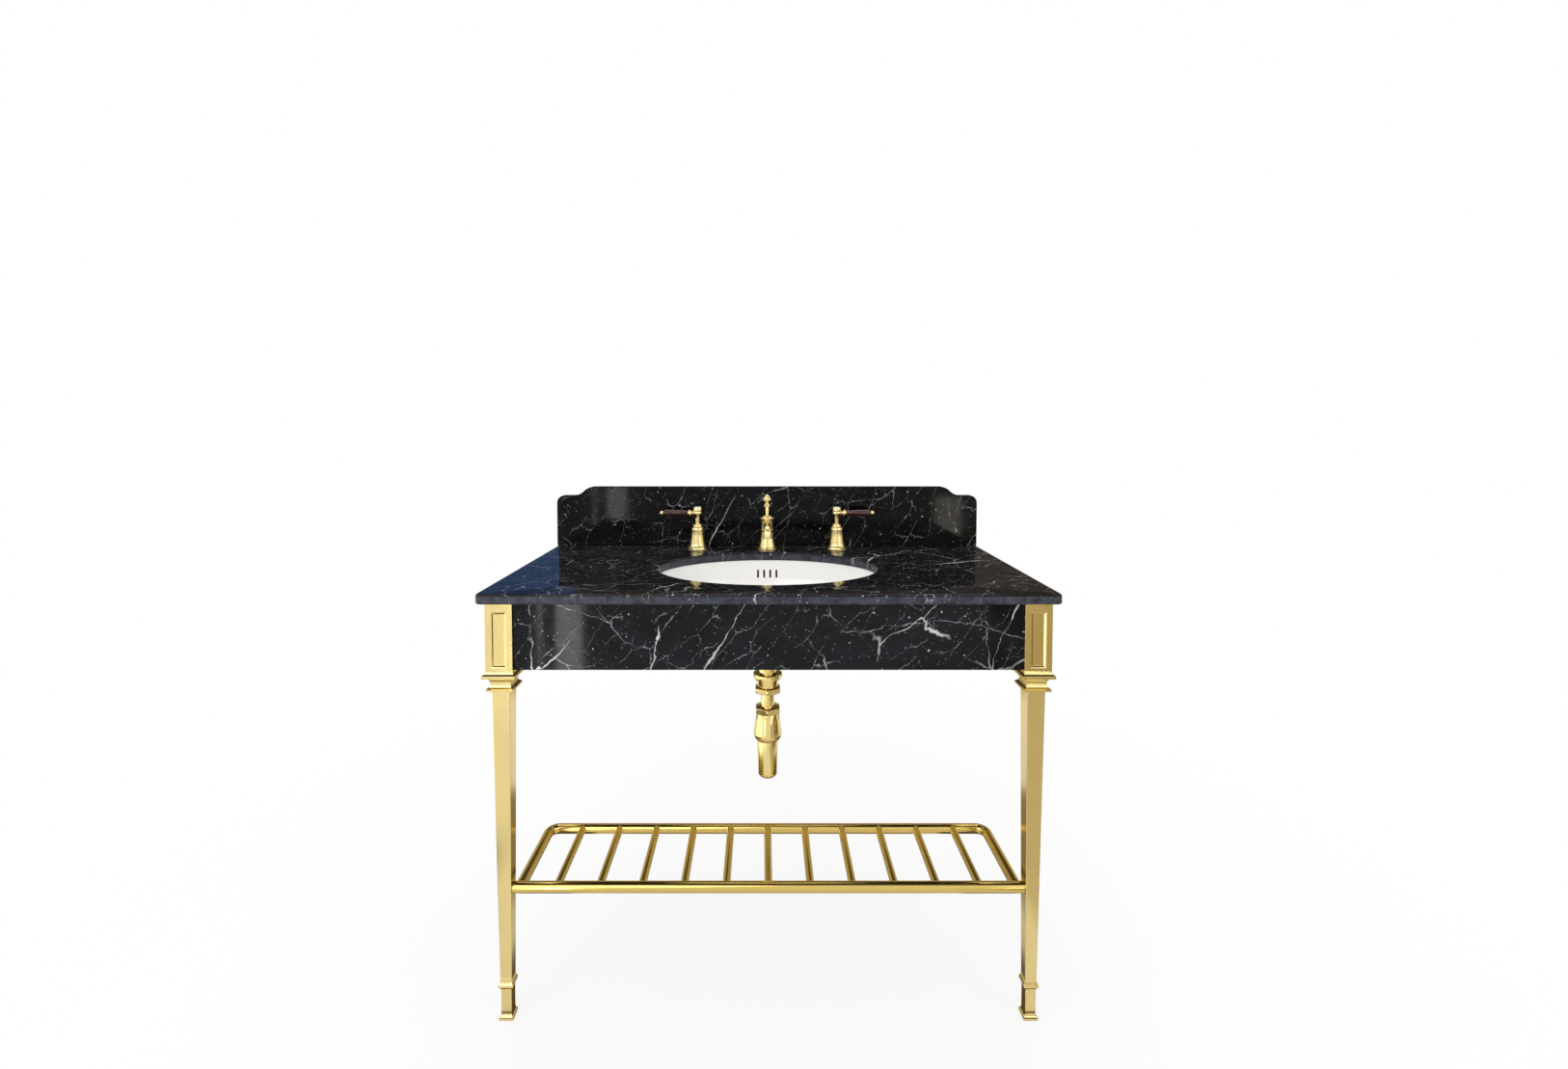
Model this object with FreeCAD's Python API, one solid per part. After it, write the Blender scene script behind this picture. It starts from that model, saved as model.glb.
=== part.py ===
"""Console washstand: a stone top on two square brass legs, with an undermount
oval basin, a three-hole tap set with a pop-up waste, a bottle trap and a rack.

Millimetres. The origin is on the floor under the middle of the top's outline,
+X is to the right, +Y is towards the wall and +Z is up.
"""
import FreeCAD, Part
import math
import os

UP = FreeCAD.Vector(0, 0, 1)
RIGHT = FreeCAD.Vector(1, 0, 0)
BACKWARD = FreeCAD.Vector(0, 1, 0)
SIDES = {"left": -1, "right": 1}

# Overall size
WIDTH = 1150.0
DEPTH = 560.0
TOP_HEIGHT = 880.0
SLAB_THICK = 20.0
SLAB_CORNER = 12.0
SLAB_EDGE = 4.0
BACK = DEPTH / 2
FRONT = -DEPTH / 2
UNDERSIDE = TOP_HEIGHT - SLAB_THICK

# Splashback
SPLASH_THICK = 20.0
SPLASH_HEIGHT = 162.0
SHOULDER_HEIGHT = 138.0
SHOULDER_RADIUS = 20.0
SHOULDER_END = 45.0
OGEE_END = 102.0
SPLASH_EDGE = 1.5

# Legs: square heads, turned-in capitals, tapered shafts and feet
LEG_INSET = 42.0
LEG_X = WIDTH / 2 - LEG_INSET
LEG_Y = FRONT + LEG_INSET
HEAD_HALF = 27.0
CAPITAL_HALF = 33.0
CAPITAL_TOP = 724.0
SHAFT_TOP = 682.0
SHAFT_TOP_HALF = 18.0
SHAFT_FOOT = 86.0
SHAFT_FOOT_HALF = 11.5
PANEL_WIDTH = 30.0
PANEL_BOTTOM = 730.0
PANEL_TOP = 841.0
PANEL_DEPTH = 2.5
GLIDE_RADIUS = 8.5
GLIDE_STUD = 3.0

# Stone aprons between the leg heads and the wall
APRON_HEIGHT = 136.0
APRON_THICK = 20.0
APRON_SETBACK = 6.0

# Steel frame that carries the top
RAIL_BAR = 10.0
RAIL_TUBE = 25.0
RAIL_HEIGHT = 30.0
ANGLE_THICK = 5.0
ANGLE_HEIGHT = 70.0
ANGLE_REACH = 35.0
WALL_HOLES_X = (-450.0, -150.0, 150.0, 450.0)
WALL_HOLE_Z = 812.0
WALL_HOLE_RADIUS = 5.5
BRACKET_WIDTH = 24.0
BRACKET_HEIGHT = 55.0
BRACKET_REACH = 50.0
BOLT_RADIUS = 4.0

# Oval basin
BASIN_Y = -17.0
OPENING_A = 255.0
OPENING_B = 181.0
REVEAL = 3.0
SEAL_THICK = 1.5
BASIN_WALL = 9.0
BASIN_DEPTH = 152.5
FLANGE_REACH = 25.0
FLANGE_THICK = 12.0
DRAIN_FLAT = 31.0
DRAIN_HOLE = 22.0
BOWL_FULLNESS = 2.6
OVERFLOW_GAP = 12.0
OVERFLOW_WALL = 6.0
OVERFLOW_HALF = 32.0
SLOT_WIDTH = 4.0
SLOT_BOTTOM = 813.0
SLOT_TOP = 834.0
SLOT_PITCH = 16.0
RIM = UNDERSIDE - SEAL_THICK
BOWL_BOTTOM = RIM - BASIN_DEPTH
DRAIN_UNDERSIDE = BOWL_BOTTOM - 30.0
CLIP_ANGLES = (0, 40, 140, 180, 220, 320)

# Waste, trap and outlet
PIPE_RADIUS = 16.0
PIPE_BORE = 14.6
SLIP = 0.05
WASTE_RADIUS = 20.0
WASTE_BORE = 15.5
PIVOT_ARM = 25.0
STRAP_ARM = 90.0
PIVOT_Z = 652.0
PIVOT_BALL = 6.0
PIVOT_ROD = 2.5
PIPE_TOP = 642.0
WASTE_END = 630.0
OUTLET_Z = 513.0
TRAP_Y = BASIN_Y

# Tap set
TAP_Y = 219.0
TAP_X = 186.0
TAP_HOLE = 17.0
SHANK_RADIUS = 13.5
STEM_RADIUS = 6.0
LEVER_HEIGHT = 95.5
LEVER_REACH = 102.0
ROD_RADIUS = 5.0
MIX_Z = 805.0
MIX_RADIUS = 6.0
COLUMN_RADIUS = 16.6
ARM_HEIGHT = 66.0
ARM_RADIUS = 10.5
ARM_LENGTH = 92.0
ARM_BEND = 15.0
NOZZLE_RADIUS = 12.0
NOZZLE_HEIGHT = 45.0
INLET_RADIUS = 10.48
INLET_END = 755.0

# Rack
RACK_Z = 269.0
RACK_DEPTH = 200.0
RAIL_RADIUS = 11.0
BAR_RADIUS = 8.0
BAR_LIFT = 2.0
BAR_PITCH = 86.0
BAR_COUNT = 11
RACK_CORNER = 22.0
RACK_END_X = 506.0
SPIGOT_RADIUS = 4.0


# Basic forms

def box(x_range, y_range, z_range):
    """Block between the lower and upper limits of each axis."""
    sizes = [high - low for low, high in (x_range, y_range, z_range)]
    corner = FreeCAD.Vector(x_range[0], y_range[0], z_range[0])
    return Part.makeBox(*sizes, corner)


def rod(radius, start, end):
    """Round bar from one point to another."""
    first = FreeCAD.Vector(*start)
    along = FreeCAD.Vector(*end) - first
    return Part.makeCylinder(radius, along.Length, first, along)


def stand(shape, centre, axis=UP):
    """Move a shape made on the Z axis so that its axis passes through centre."""
    moved = shape.copy()
    moved.Placement = FreeCAD.Placement(FreeCAD.Vector(*centre), FreeCAD.Rotation(UP, axis))
    return moved


def chain(steps):
    """Edges in the XZ plane: a step of two numbers is a line, of four an arc by way of a point."""
    here = FreeCAD.Vector(steps[0][0], 0, steps[0][1])
    edges = []
    for step in steps[1:]:
        there = FreeCAD.Vector(step[-2], 0, step[-1])
        if len(step) == 4:
            middle = FreeCAD.Vector(step[0], 0, step[1])
            edges.append(Part.Arc(here, middle, there).toShape())
        else:
            edges.append(Part.LineSegment(here, there).toShape())
        here = there
    return edges


def closed_face(steps):
    """Face in the XZ plane inside a chain of steps, closed by a straight line."""
    first = steps[0]
    last = steps[-1][-2:]
    if math.dist(first, last) > SLIP / 10:
        steps = list(steps) + [first]
    return Part.Face(Part.Wire(chain(steps)))


def lathe(steps, centre=(0, 0, 0), axis=UP):
    """Turned solid: each step is a radius and a height on the axis."""
    turned = closed_face(steps).revolve(FreeCAD.Vector(), UP, 360)
    return stand(turned, centre, axis)


def dome(radius, height, crown):
    """Step over a spherical cap, from a point at radius and height to the axis at crown."""
    rise = crown - height
    sphere = (radius ** 2 + rise ** 2) / (2 * abs(rise))
    half_turn = math.atan2(radius, sphere - abs(rise)) / 2
    sag = sphere * (1 - math.cos(half_turn))
    return (sphere * math.sin(half_turn), crown - math.copysign(sag, rise), 0, crown)


def extrude_profile(steps, start, end):
    """Profile in the XZ plane, carried along Y from start to end."""
    face = closed_face(steps)
    face.translate(FreeCAD.Vector(0, start, 0))
    return face.extrude(FreeCAD.Vector(0, end - start, 0))


def square_moulding(steps, centre_x, centre_y):
    """Square column whose half-width follows the steps, mitred at its corners."""
    right = chain(steps)
    mirror = [edge.mirror(FreeCAD.Vector(), RIGHT) for edge in right]
    ends = []
    for half, height in (steps[0], steps[-1][-2:]):
        near = FreeCAD.Vector(-half, 0, height)
        far = FreeCAD.Vector(half, 0, height)
        ends.append(Part.LineSegment(near, far).toShape())
    wire = Part.Wire(Part.__sortEdges__(right + mirror + ends))
    reach = 2 * max(step[-2] for step in steps)
    face = Part.Face(wire)
    face.translate(FreeCAD.Vector(0, -reach, 0))
    across = face.extrude(FreeCAD.Vector(0, 2 * reach, 0))
    along = across.copy()
    along.rotate(FreeCAD.Vector(), UP, 90)
    column = across.common(along)
    column.translate(FreeCAD.Vector(centre_x, centre_y, 0))
    return column


def hexagon(flats, height, centre, axis=UP):
    """Plain hexagon head, standing on centre."""
    corner = flats / math.sqrt(3)
    points = []
    for index in range(7):
        turn = math.radians(60 * index + 30)
        points.append(FreeCAD.Vector(corner * math.cos(turn), corner * math.sin(turn), 0))
    prism = Part.Face(Part.makePolygon(points)).extrude(FreeCAD.Vector(0, 0, height))
    return stand(prism, centre, axis)


def hex_nut(flats, height, bore, centre, axis=UP):
    """Plain hexagon nut, standing on centre."""
    hole = stand(Part.makeCylinder(bore, height), centre, axis)
    return hexagon(flats, height, centre, axis).cut(hole)


def polished_nut(flats, height, bore, centre):
    """Upright hexagon nut whose corners are turned down at both ends."""
    corner = flats / math.sqrt(3)
    rise = (corner - flats / 2) * 0.6
    barrel = lathe([(bore, 0), (flats / 2, 0), (corner, rise), (corner, height - rise),
                    (flats / 2, height), (bore, height)], centre)
    return hexagon(flats, height, centre).common(barrel)


def joined(first, *others):
    """One solid made of several that touch."""
    return first.fuse(list(others)).removeSplitter()


def oval_wire(half_a, half_b, height):
    """Ellipse around the basin's axis."""
    curve = Part.Ellipse(FreeCAD.Vector(0, BASIN_Y, height), half_a, half_b)
    return Part.Wire(curve.toShape())


def oval_block(half_a, half_b, bottom, top):
    """Upright block of elliptical plan around the basin's axis."""
    face = Part.Face(oval_wire(half_a, half_b, bottom))
    return face.extrude(FreeCAD.Vector(0, 0, top - bottom))


# Stone

def worktop():
    """Slab with polished edges, the basin's oval opening and three tap holes."""
    slab = box((-WIDTH / 2, WIDTH / 2), (FRONT, BACK), (UNDERSIDE, TOP_HEIGHT))
    corners = [edge for edge in slab.Edges
               if abs(edge.CenterOfMass.z - UNDERSIDE - SLAB_THICK / 2) < 1
               and edge.CenterOfMass.y < 0]
    slab = slab.makeFillet(SLAB_CORNER, corners)
    rims = [edge for edge in slab.Edges
            if abs(edge.CenterOfMass.z - UNDERSIDE - SLAB_THICK / 2) > 1
            and edge.CenterOfMass.y < BACK - 1]
    slab = slab.makeFillet(SLAB_EDGE, rims)
    slab = slab.cut(oval_block(OPENING_A, OPENING_B, UNDERSIDE, TOP_HEIGHT))
    for x in (-TAP_X, 0, TAP_X):
        slab = slab.cut(rod(TAP_HOLE, (x, TAP_Y, UNDERSIDE), (x, TAP_Y, TOP_HEIGHT)))
    return slab


def ogee_half():
    """Outline of the splashback's right half, from its foot to the middle of its top."""
    end = WIDTH / 2
    shoulder = TOP_HEIGHT + SHOULDER_HEIGHT
    crown = TOP_HEIGHT + SPLASH_HEIGHT
    run = (OGEE_END - SHOULDER_END) / 2
    rise = (crown - shoulder) / 2
    sweep = (run ** 2 + rise ** 2) / (2 * rise)
    half_turn = math.asin(run / sweep) / 2
    side = sweep * math.sin(half_turn)
    sag = sweep * (1 - math.cos(half_turn))
    low = end - SHOULDER_END
    middle = low - run
    high = end - OGEE_END
    round_off = SHOULDER_RADIUS * (1 - math.sqrt(0.5))
    return [(end, TOP_HEIGHT), (end, shoulder - SHOULDER_RADIUS),
            (end - round_off, shoulder - round_off, end - SHOULDER_RADIUS, shoulder),
            (low, shoulder),
            (low - side, shoulder + sag, middle, shoulder + rise),
            (high + side, crown - sag, high, crown),
            (0, crown)]


def splashback():
    """Upstand along the wall, with rounded shoulders and an ogee up to the crown."""
    steps = ogee_half() + [(0, TOP_HEIGHT)]
    half = extrude_profile(steps, BACK - SPLASH_THICK, BACK)
    whole = joined(half, half.mirror(FreeCAD.Vector(), RIGHT))
    front_edges = [edge for edge in whole.Edges
                   if edge.BoundBox.YMax < BACK - SPLASH_THICK + 1
                   and edge.BoundBox.ZMax > TOP_HEIGHT + 1]
    return whole.makeChamfer(SPLASH_EDGE, front_edges)


def aprons():
    """Stone panels under the top: one in front and one at each side."""
    bottom = UNDERSIDE - APRON_HEIGHT
    head_inner = LEG_X - HEAD_HALF
    front_face = LEG_Y - HEAD_HALF + APRON_SETBACK
    side_face = LEG_X + HEAD_HALF - APRON_SETBACK
    parts = {"front_apron": box((-head_inner, head_inner),
                                (front_face, front_face + APRON_THICK),
                                (bottom, UNDERSIDE))}
    for name, side in SIDES.items():
        limits = sorted((side * side_face, side * (side_face - APRON_THICK)))
        parts[f"side_apron_{name}"] = box(limits, (LEG_Y + HEAD_HALF, BACK),
                                          (bottom, UNDERSIDE))
    return parts


# Legs

def panel_pocket():
    """Sunk field with sloping edges, cut into a face at y = 0 that looks to -Y."""
    rims = []
    for depth, inset in ((0, 0), (PANEL_DEPTH, PANEL_DEPTH)):
        half = PANEL_WIDTH / 2 - inset
        low = PANEL_BOTTOM + inset
        high = PANEL_TOP - inset
        corners = ((-half, low), (half, low), (half, high), (-half, high), (-half, low))
        rims.append(Part.makePolygon([FreeCAD.Vector(x, depth, z) for x, z in corners]))
    return Part.makeLoft(rims, True, True)


def leg_head(side):
    """Cast head with two sunk panels, over a capital of mitred mouldings."""
    steps = [(HEAD_HALF, SHAFT_TOP), (HEAD_HALF, SHAFT_TOP + 4),
             (22.0, 690.0, 20.0, 697.0),
             (21.2, 702.5, 24.0, 707.0),
             (27.5, 708.0, CAPITAL_HALF, 709.5),
             (CAPITAL_HALF, 715.0),
             (28.8, 718.4, HEAD_HALF, CAPITAL_TOP),
             (HEAD_HALF, UNDERSIDE)]
    head = square_moulding(steps, side * LEG_X, LEG_Y)
    front = panel_pocket()
    front.translate(FreeCAD.Vector(side * LEG_X, LEG_Y - HEAD_HALF, 0))
    outer = panel_pocket()
    outer.rotate(FreeCAD.Vector(), UP, 90 * side)
    outer.translate(FreeCAD.Vector(side * (LEG_X + HEAD_HALF), LEG_Y, 0))
    head = head.cut(front).cut(outer)
    for x, y, z in bracket_bolts_back(side):
        head = head.cut(rod(BOLT_RADIUS, (x, y - 20, z), (x, y, z)))
    return head


def shaft_frustum():
    """Tapered square bar on the Z axis."""
    rims = []
    for half, height in ((SHAFT_FOOT_HALF, SHAFT_FOOT), (SHAFT_TOP_HALF, SHAFT_TOP)):
        corners = ((-half, -half), (half, -half), (half, half), (-half, half), (-half, -half))
        rims.append(Part.makePolygon([FreeCAD.Vector(x, y, height) for x, y in corners]))
    return Part.makeLoft(rims, True, True)


def leg_shaft(side):
    """Tapered shaft, bored for the spigot that holds the rack."""
    shaft = shaft_frustum()
    shaft.translate(FreeCAD.Vector(side * LEG_X, LEG_Y, 0))
    return shaft.cut(rack_spigot(side))


def leg_foot(side):
    """Ankle moulding, slender foot and splayed toe, hollowed for the glide."""
    steps = [(14.5, 0.0), (14.5, 4.6),
             (11.6, 8.6, 10.5, 15.0),
             (10.5, 59.0),
             (11.7, 65.2, 15.0, 69.0),
             (15.0, 72.0),
             (12.4, 77.6, SHAFT_FOOT_HALF, SHAFT_FOOT)]
    foot = square_moulding(steps, side * LEG_X, LEG_Y)
    x = side * LEG_X
    recess = rod(GLIDE_RADIUS + 0.5, (x, LEG_Y, 0), (x, LEG_Y, 5))
    thread = rod(GLIDE_STUD, (x, LEG_Y, 0), (x, LEG_Y, 30))
    return foot.cut(recess).cut(thread)


def floor_glides():
    """Threaded levelling glide under each foot."""
    glides = []
    for side in SIDES.values():
        steps = [(0, 0), (GLIDE_RADIUS, 0), (GLIDE_RADIUS, 4),
                 (GLIDE_STUD - SLIP, 4), (GLIDE_STUD - SLIP, 28), (0, 28)]
        glides.append(lathe(steps, (side * LEG_X, LEG_Y, 0)))
    return Part.makeCompound(glides)


def legs():
    """Both legs with their glides."""
    parts = {"floor_glides": floor_glides()}
    for name, side in SIDES.items():
        parts[f"leg_head_{name}"] = leg_head(side)
        parts[f"leg_shaft_{name}"] = leg_shaft(side)
        parts[f"leg_foot_{name}"] = leg_foot(side)
    return parts


# Steel frame

def bracket_bolts_back(side):
    """Where the bracket's bolts enter the back of a leg head."""
    x = side * (LEG_X - HEAD_HALF + 15)
    top = UNDERSIDE - RAIL_TUBE
    return [(x, LEG_Y + HEAD_HALF, top - 15), (x, LEG_Y + HEAD_HALF, top - 40)]


def leg_bracket(side):
    """Angle that bolts a leg head to the side rail above it."""
    x = side * (LEG_X - HEAD_HALF + 15)
    x_range = (x - BRACKET_WIDTH / 2, x + BRACKET_WIDTH / 2)
    back = LEG_Y + HEAD_HALF
    top = UNDERSIDE - RAIL_TUBE
    upright = box(x_range, (back, back + ANGLE_THICK), (top - BRACKET_HEIGHT, top))
    shelf = box(x_range, (back, back + BRACKET_REACH), (top - ANGLE_THICK, top))
    bracket = joined(upright, shelf)
    for x_bolt, y, z in bracket_bolts_back(side):
        bracket = bracket.cut(rod(BOLT_RADIUS, (x_bolt, y, z), (x_bolt, y + ANGLE_THICK, z)))
    return bracket


def bracket_bolts():
    """Hexagon bolts from the brackets into the leg heads."""
    bolts = []
    for side in SIDES.values():
        for x, y, z in bracket_bolts_back(side):
            seat = y + ANGLE_THICK
            head = hexagon(13, 5.3, (x, seat, z), BACKWARD)
            shank = rod(BOLT_RADIUS - SLIP, (x, y - 18, z), (x, seat, z))
            bolts.append(joined(head, shank))
    return Part.makeCompound(bolts)


def wall_rail():
    """Steel angle screwed to the wall, on which the back of the top lies."""
    upright = box((-LEG_X, LEG_X), (BACK - ANGLE_THICK, BACK),
                  (UNDERSIDE - ANGLE_HEIGHT, UNDERSIDE))
    inner = LEG_X - RAIL_TUBE - 3
    shelf = box((-inner, inner), (BACK - ANGLE_REACH, BACK - ANGLE_THICK),
                (UNDERSIDE - ANGLE_THICK, UNDERSIDE))
    rail = joined(upright, shelf)
    for x in WALL_HOLES_X:
        hole = rod(WALL_HOLE_RADIUS, (x, BACK - ANGLE_THICK, WALL_HOLE_Z), (x, BACK, WALL_HOLE_Z))
        rail = rail.cut(hole)
    return rail


def steel_frame():
    """Rails under the top and the fixings that tie them to legs and wall."""
    head_inner = LEG_X - HEAD_HALF
    apron_back = LEG_Y - HEAD_HALF + APRON_SETBACK + APRON_THICK
    rails = [box((-head_inner, head_inner), (apron_back, apron_back + RAIL_BAR),
                 (UNDERSIDE - RAIL_HEIGHT, UNDERSIDE))]
    outer = LEG_X + HEAD_HALF - APRON_SETBACK - APRON_THICK
    for side in SIDES.values():
        limits = sorted((side * outer, side * (outer - RAIL_TUBE)))
        rails.append(box(limits, (LEG_Y + HEAD_HALF, BACK - ANGLE_THICK),
                         (UNDERSIDE - RAIL_TUBE, UNDERSIDE)))
    return {"frame_rails": Part.makeCompound(rails),
            "wall_rail": wall_rail(),
            "leg_brackets": Part.makeCompound([leg_bracket(side) for side in SIDES.values()]),
            "bracket_bolts": bracket_bolts()}


# Basin

def bowl_form(grow):
    """Hollow of the bowl, or that form grown outwards by a wall's thickness."""
    rims = []
    for degrees in (0, 12, 24, 36, 48, 60, 71, 81, 90):
        turn = math.radians(degrees)
        inward = math.cos(turn)
        drop = BASIN_DEPTH * math.sin(turn) ** (2 / BOWL_FULLNESS) + grow * math.sin(turn)
        half_a = DRAIN_FLAT + (OPENING_A + REVEAL - DRAIN_FLAT + grow) * inward
        half_b = DRAIN_FLAT + (OPENING_B + REVEAL - DRAIN_FLAT + grow) * inward
        rims.append(oval_wire(half_a, half_b, RIM - drop))
    return Part.makeLoft(rims, True, False)


def overflow_passage(grow, half_width, top):
    """Part of the grown bowl form behind and below the back wall."""
    limits = box((-half_width, half_width), (BASIN_Y + DRAIN_HOLE - 4, BACK),
                 (DRAIN_UNDERSIDE, top))
    return bowl_form(grow).common(limits)


def basin_bowl():
    """Ceramic bowl with its flange, drain seat and hidden overflow passage."""
    cavity_grow = BASIN_WALL + OVERFLOW_GAP
    hollow = bowl_form(0)
    wall = bowl_form(BASIN_WALL)
    flange = oval_block(OPENING_A + REVEAL + FLANGE_REACH, OPENING_B + REVEAL + FLANGE_REACH,
                        RIM - FLANGE_THICK, RIM)
    cover = overflow_passage(cavity_grow + OVERFLOW_WALL, OVERFLOW_HALF + OVERFLOW_WALL,
                             RIM - FLANGE_THICK)
    passage = overflow_passage(cavity_grow, OVERFLOW_HALF, RIM - FLANGE_THICK - 4).cut(wall)
    seat = rod(38, (0, BASIN_Y, DRAIN_UNDERSIDE), (0, BASIN_Y, BOWL_BOTTOM - 1))
    body = wall.fuse([flange, cover, seat])
    body = body.cut(passage).cut(hollow)
    body = body.cut(rod(DRAIN_HOLE, (0, BASIN_Y, DRAIN_UNDERSIDE), (0, BASIN_Y, BOWL_BOTTOM)))
    body = body.cut(rod(DRAIN_FLAT, (0, BASIN_Y, BOWL_BOTTOM - 3), (0, BASIN_Y, BOWL_BOTTOM)))
    for index in range(4):
        x = (index - 1.5) * SLOT_PITCH
        slot = box((x - SLOT_WIDTH / 2, x + SLOT_WIDTH / 2), (130, BASIN_Y + OPENING_B + 16),
                   (SLOT_BOTTOM, SLOT_TOP))
        body = body.cut(slot)
    return body


def basin_seal():
    """Bead of sealant between the bowl's flange and the top."""
    outer = oval_block(OPENING_A + REVEAL + 12, OPENING_B + REVEAL + 12, RIM, UNDERSIDE)
    return outer.cut(oval_block(OPENING_A + REVEAL, OPENING_B + REVEAL, RIM, UNDERSIDE))


def basin_clips():
    """Bent clips with bonded studs that hold the flange up against the top."""
    flange_a = OPENING_A + REVEAL + FLANGE_REACH
    flange_b = OPENING_B + REVEAL + FLANGE_REACH
    low = -SEAL_THICK - FLANGE_THICK
    steps = [(-14, low), (2.5, low), (2.5, 0), (24, 0), (24, -3), (5.5, -3), (5.5, low - 3),
             (-14, low - 3)]
    clips = []
    for degrees in CLIP_ANGLES:
        turn = math.radians(degrees)
        normal = math.degrees(math.atan2(math.sin(turn) / flange_b, math.cos(turn) / flange_a))
        strip = extrude_profile(steps, -12, 12)
        clip = joined(strip, hexagon(10, 5, (15, 0, -8)))
        clip.rotate(FreeCAD.Vector(), UP, normal)
        clip.translate(FreeCAD.Vector(flange_a * math.cos(turn),
                                      BASIN_Y + flange_b * math.sin(turn), UNDERSIDE))
        clips.append(clip)
    return Part.makeCompound(clips)


# Waste and trap

def waste_body():
    """Drain flange and threaded tail, with overflow ports and the pivot's side boss."""
    steps = [(19, BOWL_BOTTOM), (30.5, BOWL_BOTTOM), (30.5, BOWL_BOTTOM - 3),
             (WASTE_RADIUS, BOWL_BOTTOM - 3), (WASTE_RADIUS, 663), (21.5, 663),
             (21.5, WASTE_END), (PIPE_RADIUS + SLIP, WASTE_END), (PIPE_RADIUS + SLIP, PIPE_TOP),
             (WASTE_BORE, PIPE_TOP), (WASTE_BORE, BOWL_BOTTOM - 6)]
    body = lathe(steps, (0, TRAP_Y, 0))
    boss = rod(9, (0, TRAP_Y + 18, PIVOT_Z), (0, TRAP_Y + 33, PIVOT_Z))
    inside = rod(WASTE_RADIUS - 1, (0, TRAP_Y, PIPE_TOP), (0, TRAP_Y, BOWL_BOTTOM - 8))
    body = joined(body, boss.cut(inside))
    body = body.cut(rod(PIVOT_BALL + SLIP, (0, TRAP_Y + 10, PIVOT_Z), (0, TRAP_Y + 33, PIVOT_Z)))
    port_z = (BOWL_BOTTOM - 20, BOWL_BOTTOM - 10)
    for x_range, y_range in (((-5, 5), (TRAP_Y - 24, TRAP_Y + 24)),
                             ((-24, 24), (TRAP_Y - 5, TRAP_Y + 5))):
        body = body.cut(box(x_range, y_range, port_z))
    return body


def pivot_nut():
    """Cap that holds the pivot rod's ball in its boss."""
    seat = TRAP_Y + 29
    nut = hex_nut(24, 12, 5.3, (0, seat, PIVOT_Z), BACKWARD)
    nut = nut.cut(rod(9 + SLIP, (0, seat, PIVOT_Z), (0, seat + 4, PIVOT_Z)))
    flare = lathe([(0, 4), (5.3, 4), (7.2, 12), (0, 12)], (0, seat, PIVOT_Z), BACKWARD)
    return nut.cut(flare)


def trap_body():
    """Bell-shaped upper half of the bottle trap, with its outlet boss."""
    steps = [(PIPE_RADIUS + SLIP, 537), (25, 537),
             (30.2, 514, 33, 489),
             (31.6, 479.5, 24.5, 472),
             (21.5, 472), (21.5, 479), (29.5, 488), (22, 533.5), (PIPE_RADIUS + SLIP, 533.5)]
    bell = lathe(steps, (0, TRAP_Y, 0))
    boss = rod(20, (0, TRAP_Y + 20, OUTLET_Z), (0, TRAP_Y + 45, OUTLET_Z))
    boss = boss.cut(rod(26, (0, TRAP_Y, 480), (0, TRAP_Y, 536)))
    port = rod(PIPE_RADIUS + SLIP, (0, TRAP_Y + 18, OUTLET_Z), (0, TRAP_Y + 45, OUTLET_Z))
    return joined(bell, boss).cut(port)


def trap_cup():
    """Screw-off cup that holds the water seal."""
    steps = [(0, 383), (15, 384.5), (20.4, 388.4, 22.5, 397), (24.5, 472), (21.4, 472),
             (21.4, 478), (18.6, 478), (19.4, 398), (14, 388), (0, 387)]
    return lathe(steps, (0, TRAP_Y, 0))


def outlet_pipe():
    """Pipe from the trap into the wall's waste socket."""
    start = (0, TRAP_Y + 27, OUTLET_Z)
    end = (0, BACK, OUTLET_Z)
    return rod(PIPE_RADIUS, start, end).cut(rod(PIPE_BORE, start, end))


def wall_flange():
    """Dished cover plate round the outlet pipe at the wall."""
    steps = [(PIPE_RADIUS + SLIP, -18), (18.5, -18), (23, -7, 34, -2.5), (34, 0), (31, 0),
             (PIPE_RADIUS + SLIP, -12)]
    return lathe(steps, (0, BACK, OUTLET_Z), BACKWARD)


def trap():
    """Everything from the drain to the wall."""
    axis = (0, TRAP_Y, 0)
    ring = PIPE_RADIUS + SLIP
    gasket = [(DRAIN_HOLE - 1, DRAIN_UNDERSIDE - 3), (34, DRAIN_UNDERSIDE - 3),
              (34, DRAIN_UNDERSIDE), (DRAIN_HOLE - 1, DRAIN_UNDERSIDE)]
    coupling = [(ring, 600), (25, 600), (25, 619), (33.5, 620.5), (33.5, WASTE_END),
                (ring, WASTE_END)]
    tail = rod(PIPE_RADIUS, (0, TRAP_Y, 425), (0, TRAP_Y, PIPE_TOP))
    tail = tail.cut(rod(PIPE_BORE, (0, TRAP_Y, 425), (0, TRAP_Y, PIPE_TOP)))
    outlet_seat = (0, TRAP_Y + 45, OUTLET_Z)
    return {"waste_body": waste_body(),
            "waste_gasket": lathe(gasket, axis),
            "waste_nut": hex_nut(56, 7, WASTE_RADIUS + SLIP, (0, TRAP_Y, DRAIN_UNDERSIDE - 10)),
            "pivot_nut": pivot_nut(),
            "waste_coupling": lathe(coupling, axis),
            "coupling_nut": polished_nut(57, 12, ring, (0, TRAP_Y, 586)),
            "inlet_pipe": tail,
            "trap_nut": polished_nut(55, 14, ring, (0, TRAP_Y, 537)),
            "trap_body": trap_body(),
            "trap_cup": trap_cup(),
            "outlet_nut": hex_nut(46, 14, ring, outlet_seat, BACKWARD),
            "outlet_pipe": outlet_pipe(),
            "wall_flange": wall_flange()}


# Pop-up mechanism, drawn with the knob up and the plug shut

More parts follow.
